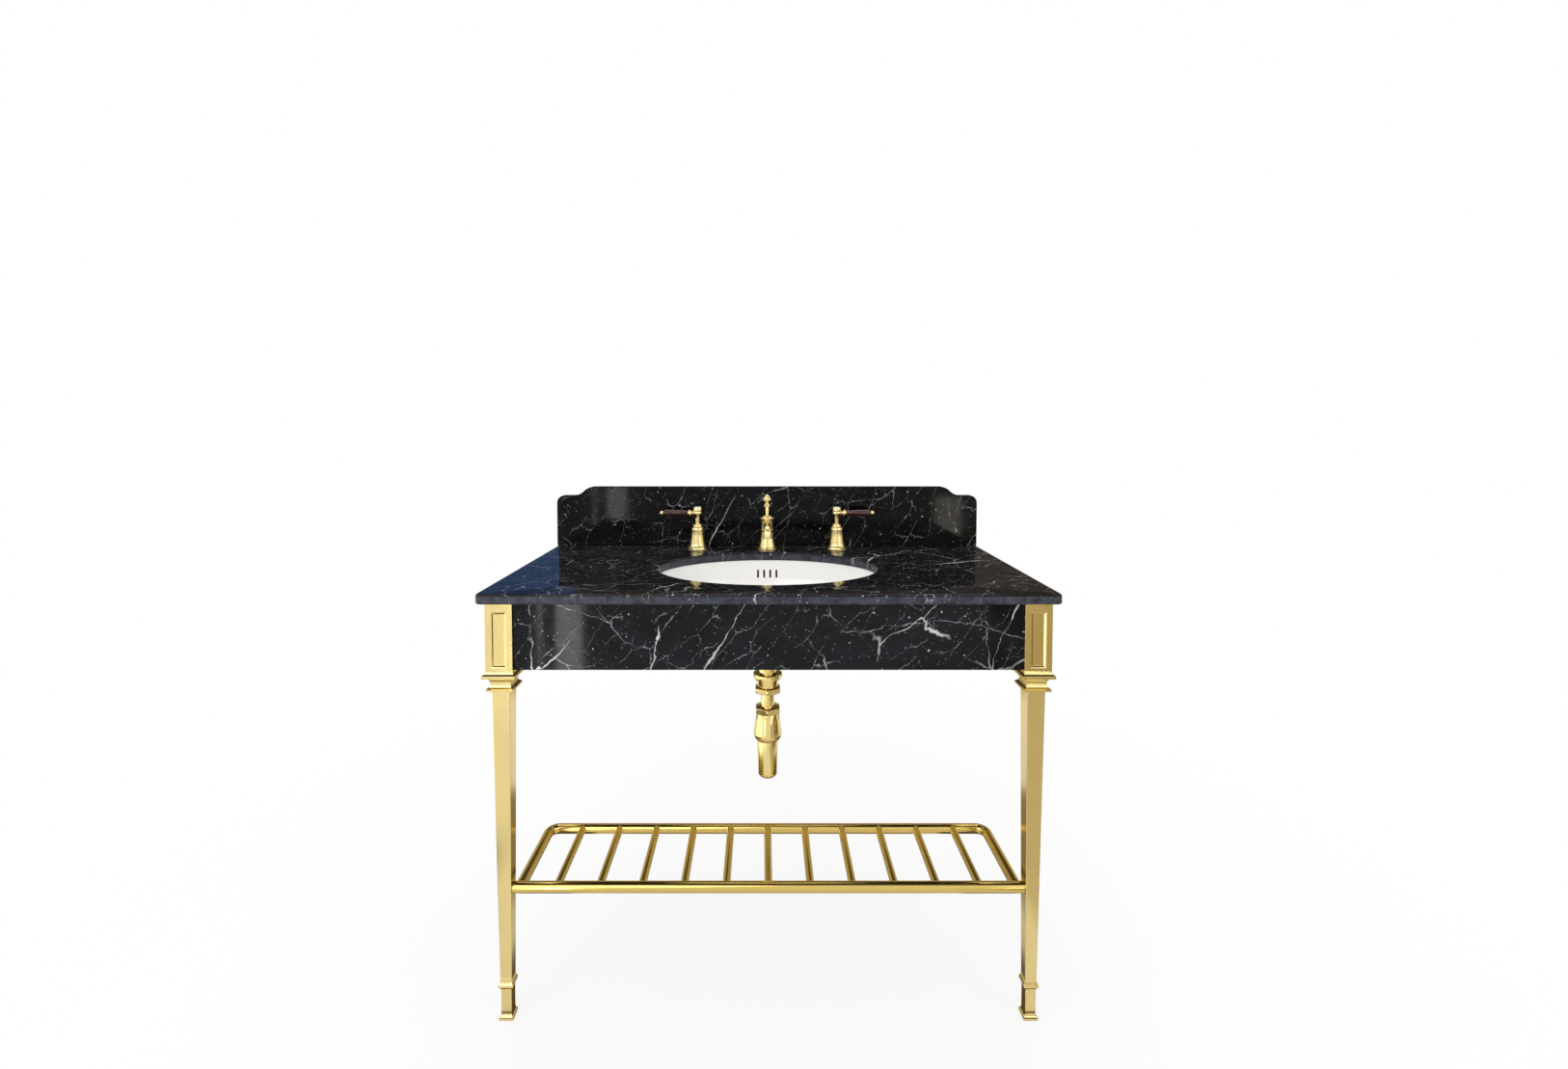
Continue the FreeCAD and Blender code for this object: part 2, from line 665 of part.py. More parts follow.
def lift_rod():
    """Rod through the spout, thick where it shows and thin below the top."""
    top = TOP_HEIGHT + 112
    upper = rod(ROD_RADIUS, (0, TAP_Y, TOP_HEIGHT + 60), (0, TAP_Y, top))
    lower = rod(PIVOT_ROD, (0, TAP_Y, 700), (0, TAP_Y, TOP_HEIGHT + 60))
    return joined(upper, lower)


def lift_knob():
    """Finial on the lift rod."""
    steps = [(0, 112), (ROD_RADIUS, 112), (11, 113.4), (11, 115),
             (7.8, 117.4, 6.2, 121.5), (8.2, 126.2, 12.8, 129.5), (12.8, 132),
             (10, 134.8), dome(10, 134.8, 145)]
    return lathe(steps, (0, TAP_Y, TOP_HEIGHT))


def lift_strap():
    """Bent flat strap with a clevis on the lift rod and an eye for the pivot rod."""
    behind = TAP_Y + PIVOT_ROD + SLIP
    eye_y = TRAP_Y + PIVOT_ARM + STRAP_ARM
    run = Part.makePolygon([FreeCAD.Vector(0, y, z) for y, z in (
        (behind, 760), (behind, 700), (eye_y - 1, 672), (eye_y - 1, 640),
        (eye_y + 1, 640), (eye_y + 1, 670), (behind + 2, 698), (behind + 2, 760),
        (behind, 760))])
    strap = Part.Face(run).extrude(FreeCAD.Vector(12, 0, 0))
    strap.translate(FreeCAD.Vector(-6, 0, 0))
    clevis = box((-6, 6), (TAP_Y - 7, behind), (722, 738))
    strap = joined(strap, clevis)
    strap = strap.cut(rod(PIVOT_ROD + SLIP, (0, TAP_Y, 720), (0, TAP_Y, 740)))
    return strap.cut(rod(3.8, (0, eye_y - 2, PIVOT_Z), (0, eye_y + 2, PIVOT_Z)))


def pivot_rod():
    """Rod with a ball, which tips to raise the plug."""
    ball_y = TRAP_Y + PIVOT_ARM
    bar = rod(PIVOT_ROD, (0, TRAP_Y - 6, PIVOT_Z), (0, ball_y + STRAP_ARM + 10, PIVOT_Z))
    ball = Part.makeSphere(PIVOT_BALL, FreeCAD.Vector(0, ball_y, PIVOT_Z))
    return joined(bar, ball)


def plug():
    """Domed plug on a finned stem with a slot for the pivot rod."""
    base = BOWL_BOTTOM + 0.4
    cap = lathe([(0, base), (21, base), (21, base + 1), dome(21, base + 1, base + 6.2)],
                (0, TRAP_Y, 0))
    stem = rod(5.5, (0, TRAP_Y, PIVOT_Z - 9), (0, TRAP_Y, base))
    fins = [box((-14.5, 14.5), (TRAP_Y - 1, TRAP_Y + 1), (668, 699)),
            box((-1, 1), (TRAP_Y - 14.5, TRAP_Y + 14.5), (668, 699))]
    body = joined(cap, stem, *fins)
    slot = box((-3, 3), (TRAP_Y - 8, TRAP_Y + 8), (PIVOT_Z - 4.5, PIVOT_Z + 4.5))
    return body.cut(slot)


def plug_seal():
    """Rubber ring under the plug's dome."""
    top = BOWL_BOTTOM + 0.4
    steps = [(5.5 + SLIP, top - 3), (17, top - 3), (18.4, top), (5.5 + SLIP, top)]
    return lathe(steps, (0, TRAP_Y, 0))


def pop_up():
    """The plug and the linkage that works it."""
    return {"lift_rod": lift_rod(), "lift_knob": lift_knob(), "lift_strap": lift_strap(),
            "pivot_rod": pivot_rod(), "plug": plug(), "plug_seal": plug_seal()}


# Tap set

def tap_base(x):
    """Hollow bell that covers a valve, with a ring round its mouth."""
    mouth = STEM_RADIUS + SLIP
    steps = [(29.2, 0), (29.2, 2), (23.6, 7.5, 20.6, 18), (17.9, 32, 16.9, 48),
             (16.4, 56, 13, 60.5), (13, 65), (11.6, 66.5), (mouth, 66.5), (mouth, 58),
             (13, 56), (15, 36), (24, 0)]
    return lathe(steps, (x, TAP_Y, TOP_HEIGHT))


def valve(x):
    """Valve under the top, with its inlet tail, side outlet and spindle."""
    inward = -1 if x > 0 else 1
    steps = [(7.5, INLET_END), (INLET_RADIUS, INLET_END), (INLET_RADIUS, 792), (16, 792),
             (16, 828), (SHANK_RADIUS, 828), (SHANK_RADIUS, 900), (11, 915),
             (3.5, 915), (3.5, 926), (0, 926), (0, 785), (7.5, 785)]
    body = lathe(steps, (x, TAP_Y, 0))
    port = rod(9, (x, TAP_Y, MIX_Z), (x + inward * 22, TAP_Y, MIX_Z))
    return joined(body, port)


def tap_nuts():
    """Back-nuts that clamp the three tap shanks under the top."""
    bore = SHANK_RADIUS + SLIP
    nuts = [hex_nut(41, 9, bore, (x, TAP_Y, UNDERSIDE - 9)) for x in (-TAP_X, 0, TAP_X)]
    return Part.makeCompound(nuts)


def mixing_pipes():
    """Pipes from the valves to the spout's tee, with their nuts."""
    pieces = []
    for side in SIDES.values():
        valve_end = TAP_X - 22
        tee_end = 22
        pieces.append(rod(MIX_RADIUS, (side * valve_end, TAP_Y, MIX_Z),
                          (side * tee_end, TAP_Y, MIX_Z)))
        for start, way in ((valve_end, -1), (tee_end, 1)):
            axis = FreeCAD.Vector(side * way, 0, 0)
            pieces.append(hex_nut(18, 9, MIX_RADIUS + SLIP, (side * start, TAP_Y, MIX_Z), axis))
    return Part.makeCompound(pieces)


def lever_hub(x):
    """Stem, turned hub and the collar and tang of the lever."""
    steps = [(3.55, 37), (STEM_RADIUS, 37), (STEM_RADIUS, 79), (6.6, 85, 8, 89),
             (10.6, 90.8), (12.6, 95.5, 11.2, 100.2), (12.2, 101.4), (12.2, 108.8),
             (11.2, 111), (9.5, 111), (9.5, 108.5), (0, 108.5), (0, 47), (3.55, 47)]
    hub = lathe(steps, (x, TAP_Y, TOP_HEIGHT))
    outward = FreeCAD.Vector(math.copysign(1, x), 0, 0)
    arm = [(0, 8), (4.6, 8), (4.6, 15.5), (8.3, 20.6, 5.6, 26.5), (3, 26.5), (3, 59), (0, 59)]
    lever = lathe(arm, (x, TAP_Y, TOP_HEIGHT + LEVER_HEIGHT), outward)
    return joined(hub, lever)


def lever_grip(x):
    """Tapered wooden grip, bored for the tangs at its two ends."""
    steps = [(3.05, 26.5), (6.5, 26.5), (8.4, 55, 9.1, 83), (8.3, 89, 5.5, 91.2),
             (2.55, 91.2), (2.55, 60), (3.05, 60)]
    outward = FreeCAD.Vector(math.copysign(1, x), 0, 0)
    return lathe(steps, (x, TAP_Y, TOP_HEIGHT + LEVER_HEIGHT), outward)


def lever_ball(x):
    """Ball end screwed into the grip."""
    radius = 6.35
    centre = LEVER_REACH - radius
    neck = 91.2
    waist = math.sqrt(radius ** 2 - (centre - neck) ** 2)
    steps = [(0, 62), (2.5, 62), (2.5, neck), (waist, neck), dome(waist, neck, LEVER_REACH)]
    outward = FreeCAD.Vector(math.copysign(1, x), 0, 0)
    return lathe(steps, (x, TAP_Y, TOP_HEIGHT + LEVER_HEIGHT), outward)


def index_cap(x):
    """Plain white button let into the top of a hub."""
    steps = [(0, 108.5), (9.5, 108.5), (9.5, 111), dome(9.5, 111, 112.6)]
    return lathe(steps, (x, TAP_Y, TOP_HEIGHT))


def spout_column():
    """Bell-footed column with its cap and shank, bored for the lift rod."""
    bore = ROD_RADIUS + SLIP
    steps = [(28.5, 0), (28.5, 3), (24.2, 5.8, 22.4, 11), (19.6, 22, 18, 36),
             (COLUMN_RADIUS, 46.5), (18.2, 50.5, COLUMN_RADIUS, 54.5), (COLUMN_RADIUS, 77),
             (21, 81.6), (20.4, 84),
             (14.8, 86, 12.5, 89), (bore, 89), (bore, -85), (SHANK_RADIUS, -85),
             (SHANK_RADIUS, 0)]
    column = lathe(steps, (0, TAP_Y, TOP_HEIGHT))
    tee = rod(9, (-22, TAP_Y, MIX_Z), (22, TAP_Y, MIX_Z))
    bore_rod = rod(bore, (0, TAP_Y, MIX_Z - 12), (0, TAP_Y, MIX_Z + 12))
    return joined(column, tee.cut(bore_rod))


def spout_arm():
    """Arm that reaches forward and turns down to its nozzle."""
    level = TOP_HEIGHT + ARM_HEIGHT
    bend_y = TAP_Y - ARM_LENGTH
    straight = rod(ARM_RADIUS, (0, TAP_Y, level), (0, bend_y, level))
    straight = straight.cut(rod(COLUMN_RADIUS, (0, TAP_Y, level - 20), (0, TAP_Y, level + 20)))
    circle = Part.Wire(Part.Circle(FreeCAD.Vector(0, bend_y, level), BACKWARD, ARM_RADIUS).toShape())
    elbow = Part.Face(circle).revolve(FreeCAD.Vector(0, bend_y, level - ARM_BEND), RIGHT, 90)
    drop_y = bend_y - ARM_BEND
    mouth = TOP_HEIGHT + NOZZLE_HEIGHT
    rise = ARM_HEIGHT - ARM_BEND - NOZZLE_HEIGHT
    steps = [(9.5, 0), (NOZZLE_RADIUS, 0), (NOZZLE_RADIUS, rise - 1.5), (ARM_RADIUS, rise),
             (0, rise), (0, rise - 1), (9.5, rise - 1)]
    nozzle = lathe(steps, (0, drop_y, mouth))
    return joined(straight, elbow, nozzle)


def aerator():
    """Perforated insert in the nozzle."""
    centre_y = TAP_Y - ARM_LENGTH - ARM_BEND
    mouth = TOP_HEIGHT + NOZZLE_HEIGHT
    insert = rod(9.4, (0, centre_y, mouth + 0.5), (0, centre_y, mouth + 5))
    return insert.cut(rod(7.5, (0, centre_y, mouth + 0.5), (0, centre_y, mouth + 2)))


def tap_set():
    """Hot tap on the left, cold tap on the right and the spout between them."""
    parts = {"tap_nuts": tap_nuts(), "mixing_pipes": mixing_pipes(),
             "spout_column": spout_column(), "spout_arm": spout_arm(), "aerator": aerator()}
    for name, x in (("hot", -TAP_X), ("cold", TAP_X)):
        parts[f"{name}_base"] = tap_base(x)
        parts[f"{name}_valve"] = valve(x)
        parts[f"{name}_hub"] = lever_hub(x)
        parts[f"{name}_grip"] = lever_grip(x)
        parts[f"{name}_ball"] = lever_ball(x)
        parts[f"{name}_cap"] = index_cap(x)
    return parts


# Rack

def rack_spigot(side):
    """Turned-down end of the front rail that enters a leg."""
    return rod(SPIGOT_RADIUS, (side * RACK_END_X, LEG_Y, RACK_Z),
               (side * (LEG_X - 3), LEG_Y, RACK_Z))


def rack_side(side, rails):
    """End rail with the bend at its back corner."""
    x = side * RACK_END_X
    back = LEG_Y + RACK_DEPTH
    straight = rod(RAIL_RADIUS, (x, LEG_Y, RACK_Z), (x, back - RACK_CORNER, RACK_Z)).cut(rails)
    start = FreeCAD.Vector(x, back - RACK_CORNER, RACK_Z)
    circle = Part.Wire(Part.Circle(start, BACKWARD, RAIL_RADIUS).toShape())
    centre = FreeCAD.Vector(x - side * RACK_CORNER, back - RACK_CORNER, RACK_Z)
    bend = Part.Face(circle).revolve(centre, UP, 90 * side)
    return joined(straight, bend)


def rack():
    """Towel rack: two long rails, two bent end rails and round bars coped between."""
    back = LEG_Y + RACK_DEPTH
    reach = RACK_END_X + 20
    front_rail = rod(RAIL_RADIUS, (-reach, LEG_Y, RACK_Z), (reach, LEG_Y, RACK_Z))
    for side in SIDES.values():
        leg = shaft_frustum()
        leg.translate(FreeCAD.Vector(side * LEG_X, LEG_Y, 0))
        front_rail = joined(front_rail.cut(leg), rack_spigot(side))
    straight_end = RACK_END_X - RACK_CORNER
    back_rail = rod(RAIL_RADIUS, (-straight_end, back, RACK_Z), (straight_end, back, RACK_Z))
    front_bar = rod(RAIL_RADIUS, (-reach, LEG_Y, RACK_Z), (reach, LEG_Y, RACK_Z))
    level = RACK_Z + BAR_LIFT
    bars = []
    for index in range(BAR_COUNT):
        x = (index - (BAR_COUNT - 1) / 2) * BAR_PITCH
        bars.append(rod(BAR_RADIUS, (x, LEG_Y, level), (x, back, level)).cut([front_bar, back_rail]))
    parts = {"rack_front_rail": front_rail, "rack_back_rail": back_rail,
             "rack_bars": Part.makeCompound(bars)}
    for name, side in SIDES.items():
        parts[f"rack_side_{name}"] = rack_side(side, front_bar)
    return parts


def washstand():
    """Every piece by its name."""
    parts = {"worktop": worktop(), "splashback": splashback(), "basin_bowl": basin_bowl(),
             "basin_seal": basin_seal(), "basin_clips": basin_clips()}
    for group in (aprons(), legs(), steel_frame(), trap(), pop_up(), tap_set(), rack()):
        parts.update(group)
    return parts


os.makedirs("parts", exist_ok=True)
for node, shape in washstand().items():
    shape.exportStep(f"parts/{node}.step")
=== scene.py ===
"""Console washstand in black marble, polished brass and glazed ceramic.

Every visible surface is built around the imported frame, in metres, with +Z up and
+Y towards the wall. Profiles are written in millimetres: a step of two numbers is a
straight run to a radius and a height, and a step of four is an arc by way of a point.
"""

import logging
import math
from dataclasses import dataclass
from enum import Enum
from typing import Callable, Sequence

import bmesh
import bpy
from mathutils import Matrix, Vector


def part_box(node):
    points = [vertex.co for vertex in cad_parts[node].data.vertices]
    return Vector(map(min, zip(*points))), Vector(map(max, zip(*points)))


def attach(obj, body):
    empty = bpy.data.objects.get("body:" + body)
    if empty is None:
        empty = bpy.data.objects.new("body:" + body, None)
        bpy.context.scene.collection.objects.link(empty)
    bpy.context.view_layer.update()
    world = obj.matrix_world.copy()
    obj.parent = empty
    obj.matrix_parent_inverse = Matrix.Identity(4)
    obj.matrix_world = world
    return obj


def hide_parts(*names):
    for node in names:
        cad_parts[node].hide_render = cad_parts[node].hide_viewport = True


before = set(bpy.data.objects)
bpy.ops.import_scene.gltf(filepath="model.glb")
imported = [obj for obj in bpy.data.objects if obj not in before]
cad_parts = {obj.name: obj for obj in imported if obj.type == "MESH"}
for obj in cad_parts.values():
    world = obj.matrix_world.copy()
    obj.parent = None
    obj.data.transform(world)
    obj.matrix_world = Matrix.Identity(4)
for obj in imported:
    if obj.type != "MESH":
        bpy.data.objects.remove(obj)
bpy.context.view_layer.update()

LOG = logging.getLogger("washstand")
MM = 0.001
TINY = 1e-6
ARC_STEP = math.radians(8)
SHARP_ANGLE = math.radians(32)
ROUND_SIDES = 96
UP = Vector((0, 0, 1))
BACKWARD = Vector((0, 1, 0))
RIGHT = Vector((1, 0, 0))

# Places that several sub-assemblies share, in millimetres
TOP_HEIGHT = 880.0
BASIN_Y = -17.0
TAP_X = 186.0
TAP_Y = 219.0

Step = tuple[float, ...]
Flat = tuple[float, float]
Triple = tuple[float, float, float]
Colour = Triple
Rings = Sequence[Sequence[Vector]]
Skin = tuple[list[Vector], list[list[int]]]
Piece = bpy.types.Object
Node = bpy.types.Node
Socket = bpy.types.NodeSocket


class Slot(Enum):
    """Names of the kinds of finish."""

    MARBLE = "black_marble"
    BRASS = "polished_brass"
    WOOD = "dark_wood"
    CERAMIC = "white_ceramic"
    BUTTON = "porcelain_button"
    STEEL = "zinc_plated_steel"
    RUBBER = "black_rubber"
    PLASTIC = "glide_plastic"


class Side(Enum):
    """The two ends of the stand, with their sign on X."""

    LEFT = -1
    RIGHT = 1

    @property
    def word(self) -> str:
        """The side's name as the nodes spell it."""
        return self.name.lower()


class Facing(Enum):
    """Ways that a studio board can face."""

    FRONT = (0.0, -1.0, 0.0)
    BACK = (0.0, 1.0, 0.0)
    LEFT = (-1.0, 0.0, 0.0)
    RIGHT = (1.0, 0.0, 0.0)
    UP = (0.0, 0.0, 1.0)
    DOWN = (0.0, 0.0, -1.0)


def box_of(node: str) -> tuple[Vector, Vector]:
    """Low and high corner of a node's box, in millimetres."""
    low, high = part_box(node)
    return low / MM, high / MM


# Outlines

def arc_points(start: Flat, middle: Flat, end: Flat) -> list[Flat]:
    """Points along an arc, without its start.

    Args:
        start: Where the arc begins.
        middle: A point that it passes.
        end: Where it ends.

    Returns:
        Points at an even turn, with the end as the last.
    """
    (ax, ay), (bx, by), (cx, cy) = start, middle, end
    twice = 2 * (ax * (by - cy) + bx * (cy - ay) + cx * (ay - by))
    a2, b2, c2 = ax * ax + ay * ay, bx * bx + by * by, cx * cx + cy * cy
    ux = (a2 * (by - cy) + b2 * (cy - ay) + c2 * (ay - by)) / twice
    uy = (a2 * (cx - bx) + b2 * (ax - cx) + c2 * (bx - ax)) / twice
    first = math.atan2(ay - uy, ax - ux)
    sweep = (math.atan2(cy - uy, cx - ux) - first) % math.tau
    if (math.atan2(by - uy, bx - ux) - first) % math.tau > sweep:
        sweep -= math.tau
    radius = math.hypot(ax - ux, ay - uy)
    count = max(2, math.ceil(abs(sweep) / ARC_STEP))
    turns = (first + sweep * index / count for index in range(1, count))
    return [(ux + radius * math.cos(t), uy + radius * math.sin(t)) for t in turns] + [end]


def outline(steps: Sequence[Step]) -> list[Flat]:
    """Plain points of a profile written as lines and arcs.

    Args:
        steps: Lines of two numbers and arcs of four, as the profiles are written.

    Returns:
        The points in order.
    """
    points: list[Flat] = [(steps[0][0], steps[0][1])]
    for step in steps[1:]:
        if len(step) == 4:
            points += arc_points(points[-1], (step[0], step[1]), (step[2], step[3]))
        else:
            points.append((step[0], step[1]))
    return points


def softened(points: Sequence[Flat], radius: float, closed: bool) -> list[Flat]:
    """Profile whose sharp corners are eased as polishing leaves them.

    Args:
        points: The profile.
        radius: How far from a corner the easing starts at most, in the points' unit.
        closed: Whether the last point joins the first.

    Returns:
        The points with three in place of each sharp corner.
    """
    reach = 0.4
    result: list[Flat] = []
    count = len(points)
    for index, here in enumerate(points):
        if not closed and index in (0, count - 1):
            result.append(here)
            continue
        before, after = points[index - 1], points[(index + 1) % count]
        back = Vector(before) - Vector(here)
        on = Vector(after) - Vector(here)
        if back.length < TINY or on.length < TINY:
            continue
        turn = math.pi - back.angle(on)
        if turn < SHARP_ANGLE:
            result.append(here)
            continue
        near = Vector(here) + back.normalized() * min(radius, back.length * reach)
        far = Vector(here) + on.normalized() * min(radius, on.length * reach)
        middle = near * 0.25 + Vector(here) * 0.5 + far * 0.25
        result += [tuple(near), tuple(middle), tuple(far)]
    return result


def quarter_round(radius: float, count: int = 5) -> list[Flat]:
    """Section of a rounded edge.

    Args:
        radius: The rounding, in millimetres.
        count: Number of straight runs that stand for the curve.

    Returns:
        Distances in from the upright face and down from the level one, starting at the
        upright face.
    """
    turns = (math.pi / 2 * step / count for step in range(count + 1))
    return [(radius * (1 - math.cos(turn)), radius * (1 - math.sin(turn))) for turn in turns]


def threaded(radius: float, start: float, end: float, pitch: float = 1.8) -> list[Step]:
    """Profile of a thread, each ridge a flank, a root and a flank.

    Args:
        radius: Radius over the ridges.
        start: Height of the first end.
        end: Height of the other end, above or below.
        pitch: Distance between ridges.

    Returns:
        The profile's steps.
    """
    depth, upper, root, lower = 0.7, 0.35, 0.1, 0.15
    stride = math.copysign(pitch, end - start)
    steps: list[Step] = [(radius, start)]
    for index in range(1, int(abs(end - start) / pitch)):
        middle = start + stride * index
        steps += [(radius, middle - stride * upper), (radius - depth, middle - stride * root),
                  (radius, middle + stride * lower)]
    return steps + [(radius, end)]


# Meshes

def new_object(name: str, data: bpy.types.ID) -> Piece:
    """Object of a mesh, curve, lamp or camera, put in the scene.

    Args:
        name: The object's name.
        data: What it shows.

    Returns:
        The object.
    """
    made = bpy.data.objects.new(name, data)
    bpy.context.scene.collection.objects.link(made)
    return made


def shade_smooth(mesh: bpy.types.Mesh) -> None:
    """Shade a mesh smooth except at its sharp edges."""
    mesh.polygons.foreach_set("use_smooth", [True] * len(mesh.polygons))
    mesh.set_sharp_from_angle(angle=SHARP_ANGLE)


def show(name: str, mesh: bpy.types.Mesh) -> Piece:
    """Object of a mesh that is shaded smooth."""
    shade_smooth(mesh)
    return new_object(name, mesh)


def make_piece(name: str, points: Sequence[Sequence[float]],
               faces: Sequence[Sequence[int]]) -> Piece:
    """Object from points and faces, with doubles merged and its faces turned outwards.

    Args:
        name: The piece's name.
        points: Vertices in millimetres.
        faces: Indices into points.

    Returns:
        The object, at the origin.
    """
    mesh = bpy.data.meshes.new(name)
    mesh.from_pydata([Vector(point) * MM for point in points], [], faces)
    form = bmesh.new()
    form.from_mesh(mesh)
    bmesh.ops.remove_doubles(form, verts=form.verts, dist=TINY)
    bmesh.ops.recalc_face_normals(form, faces=form.faces)
    form.to_mesh(mesh)
    form.free()
    return show(name, mesh)


def level_ring(half_x: float, half_y: float, height: float, sides: int,
               centre: Flat = (0.0, 0.0), first: float = 0.0) -> list[Vector]:
    """Points of a level circle or oval.

    Args:
        half_x: Half-axis along X, in millimetres.
        half_y: Half-axis along Y.
        height: The ring's height.
        sides: Number of points.
        centre: Its middle, along X and Y.
        first: Turn of the first point, in radians.

    Returns:
        The points, counter-clockwise from above.
    """
    turns = (first + math.tau * index / sides for index in range(sides))
    return [Vector((centre[0] + half_x * math.cos(turn), centre[1] + half_y * math.sin(turn),
                    height)) for turn in turns]


def set_up(rings: Rings, centre: Sequence[float], axis: Vector) -> list[list[Vector]]:
    """Rings turned from the upright to an axis, then moved to a centre."""
    turn = UP.rotation_difference(axis).to_matrix()
    return [[turn @ point + Vector(centre) for point in ring] for ring in rings]


def skin(rings: Rings, joined_ends: bool) -> Skin:
    """Points and faces of a skin over rings of equal length.

    Args:
        rings: Rings of points; a ring of one point is a pole.
        joined_ends: Whether the last ring joins the first.

    Returns:
        The points, and faces of three or four corners.
    """
    points: list[Vector] = []
    starts = []
    for ring in rings:
        starts.append(len(points))
        points += ring
    faces = []
    pairs = list(zip(range(len(rings)), range(1, len(rings))))
    if joined_ends:
        pairs.append((len(rings) - 1, 0))
    for low, high in pairs:
        size = max(len(rings[low]), len(rings[high]))
        for index in range(size):
            following = (index + 1) % size
            face = []
            for ring, corners in ((low, (index, following)), (high, (following, index))):
                if len(rings[ring]) == 1:
                    face.append(starts[ring])
                else:
                    face += [starts[ring] + corner for corner in corners]
            if len(face) > 2:
                faces.append(face)
    return points, faces


def closed_skin(rings: Rings) -> Skin:
    """Skin over rings, with the first and the last of them filled.

    Args:
        rings: Rings of equal length.

    Returns:
        The points, and faces with the two ends as the last.
    """
    points, faces = skin(rings, False)
    size, count = len(rings[0]), len(points)
    return points, [*faces, list(range(size)), list(range(count - size, count))[::-1]]


def lathe(name: str, steps: Sequence[Step], centre: Sequence[float], axis: Vector = UP,
          soft: float = 0.35, sides: int = ROUND_SIDES) -> Piece:
    """Turned piece.

    Args:
        name: The piece's name.
        steps: Radius and height of each step, in millimetres.
        centre: Where the profile's zero height is, in millimetres.
        axis: The way that heights count.
        soft: Easing of sharp corners, in millimetres.
        sides: Facets round the axis.

    Returns:
        The turned object.
    """
    points = outline(steps)
    if math.dist(points[0], points[-1]) < TINY:
        points.pop()
    poles = points[0][0] < TINY and points[-1][0] < TINY
    rings = []
    for radius, height in softened(points, soft, not poles):
        at_axis = radius < TINY
        rings.append([Vector((0, 0, height))] if at_axis else level_ring(radius, radius, height, sides))
    return make_piece(name, *skin(set_up(rings, centre, axis), not poles))


def box_piece(name: str, node: str, width: float) -> Piece:
    """Block that fills a node's box.

    Args:
        name: The piece's name.
        node: The node whose box it fills.
        width: Easing of its edges, in millimetres.

    Returns:
        The block.
    """
    low, high = box_of(node)
    corners = ((low.x, low.y), (high.x, low.y), (high.x, high.y), (low.x, high.y))
    rings = [[Vector((x, y, height)) for x, y in corners] for height in (low.z, high.z)]
    return eased(make_piece(name, *closed_skin(rings)), width)


def eased(piece: Piece, width: float, segments: int = 3) -> Piece:
    """Bevel a piece's sharp edges and keep its flat faces flat.

    Args:
        piece: The piece.
        width: Width of the bevel, in millimetres.
        segments: Facets across the bevel.

    Returns:
        The same piece.
    """
    bevel = piece.modifiers.new("eased_edges", "BEVEL")
    bevel.width = width * MM
    bevel.segments = segments
    bevel.limit_method = "ANGLE"
    bevel.angle_limit = SHARP_ANGLE
    bevel.harden_normals = True
    return settled(piece)


def settled(piece: Piece) -> Piece:
    """Turn a piece's modifiers into its mesh.

    Args:
        piece: A mesh or curve object.

    Returns:
        The mesh object, which is a new one for a curve.
    """
    graph = bpy.context.evaluated_depsgraph_get()
    graph.update()
    mesh = bpy.data.meshes.new_from_object(piece.evaluated_get(graph))
    if piece.type == "MESH":
        piece.modifiers.clear()
        piece.data = mesh
        return piece
    name = piece.name
    bpy.data.objects.remove(piece)
    return show(name, mesh)


def combined(name: str, pieces: Sequence[Piece]) -> Piece:
    """One object that holds the meshes of several.

    Args:
        name: Its name.
        pieces: The objects, which are removed.

    Returns:
        The new object.
    """
    form = bmesh.new()
    for piece in pieces:
        form.from_mesh(piece.data)
    mesh = bpy.data.meshes.new(name)
    form.to_mesh(mesh)
    form.free()
    for piece in pieces:
        bpy.data.objects.remove(piece)
    return show(name, mesh)


def carved(piece: Piece, tools: Sequence[Piece],
           operation: str = "DIFFERENCE") -> Piece:
    """Cut tools from a piece, or add them to it.

    Args:
        piece: The piece.
        tools: The solids, which are removed.
        operation: The Boolean that is done with each.

    Returns:
        The same piece.
    """
    for tool in tools:
        change = piece.modifiers.new("carve", "BOOLEAN")
        change.operation = operation
        change.solver = "EXACT"
        change.material_mode = "TRANSFER" if piece.data.materials else "INDEX"
        change.object = tool
    settled(piece)
    for tool in tools:
        bpy.data.objects.remove(tool)
    piece.data.set_sharp_from_angle(angle=SHARP_ANGLE)
    return piece


def smooth_copy(node: str) -> Piece:
    """Copy of a node's mesh with its round faces shaded smooth.

    Args:
        node: The node.

    Returns:
        The copy, its corners merged and its flat faces made whole.
    """
    seam, flat = 2e-6, math.radians(0.3)
    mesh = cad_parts[node].data.copy()
    mesh.materials.clear()
    form = bmesh.new()
    form.from_mesh(mesh)
    bmesh.ops.remove_doubles(form, verts=form.verts, dist=seam)
    bmesh.ops.dissolve_limit(form, angle_limit=flat, verts=form.verts, edges=form.edges)
    form.to_mesh(mesh)
    form.free()
    return show(f"{node}_surface", mesh)


# Node trees

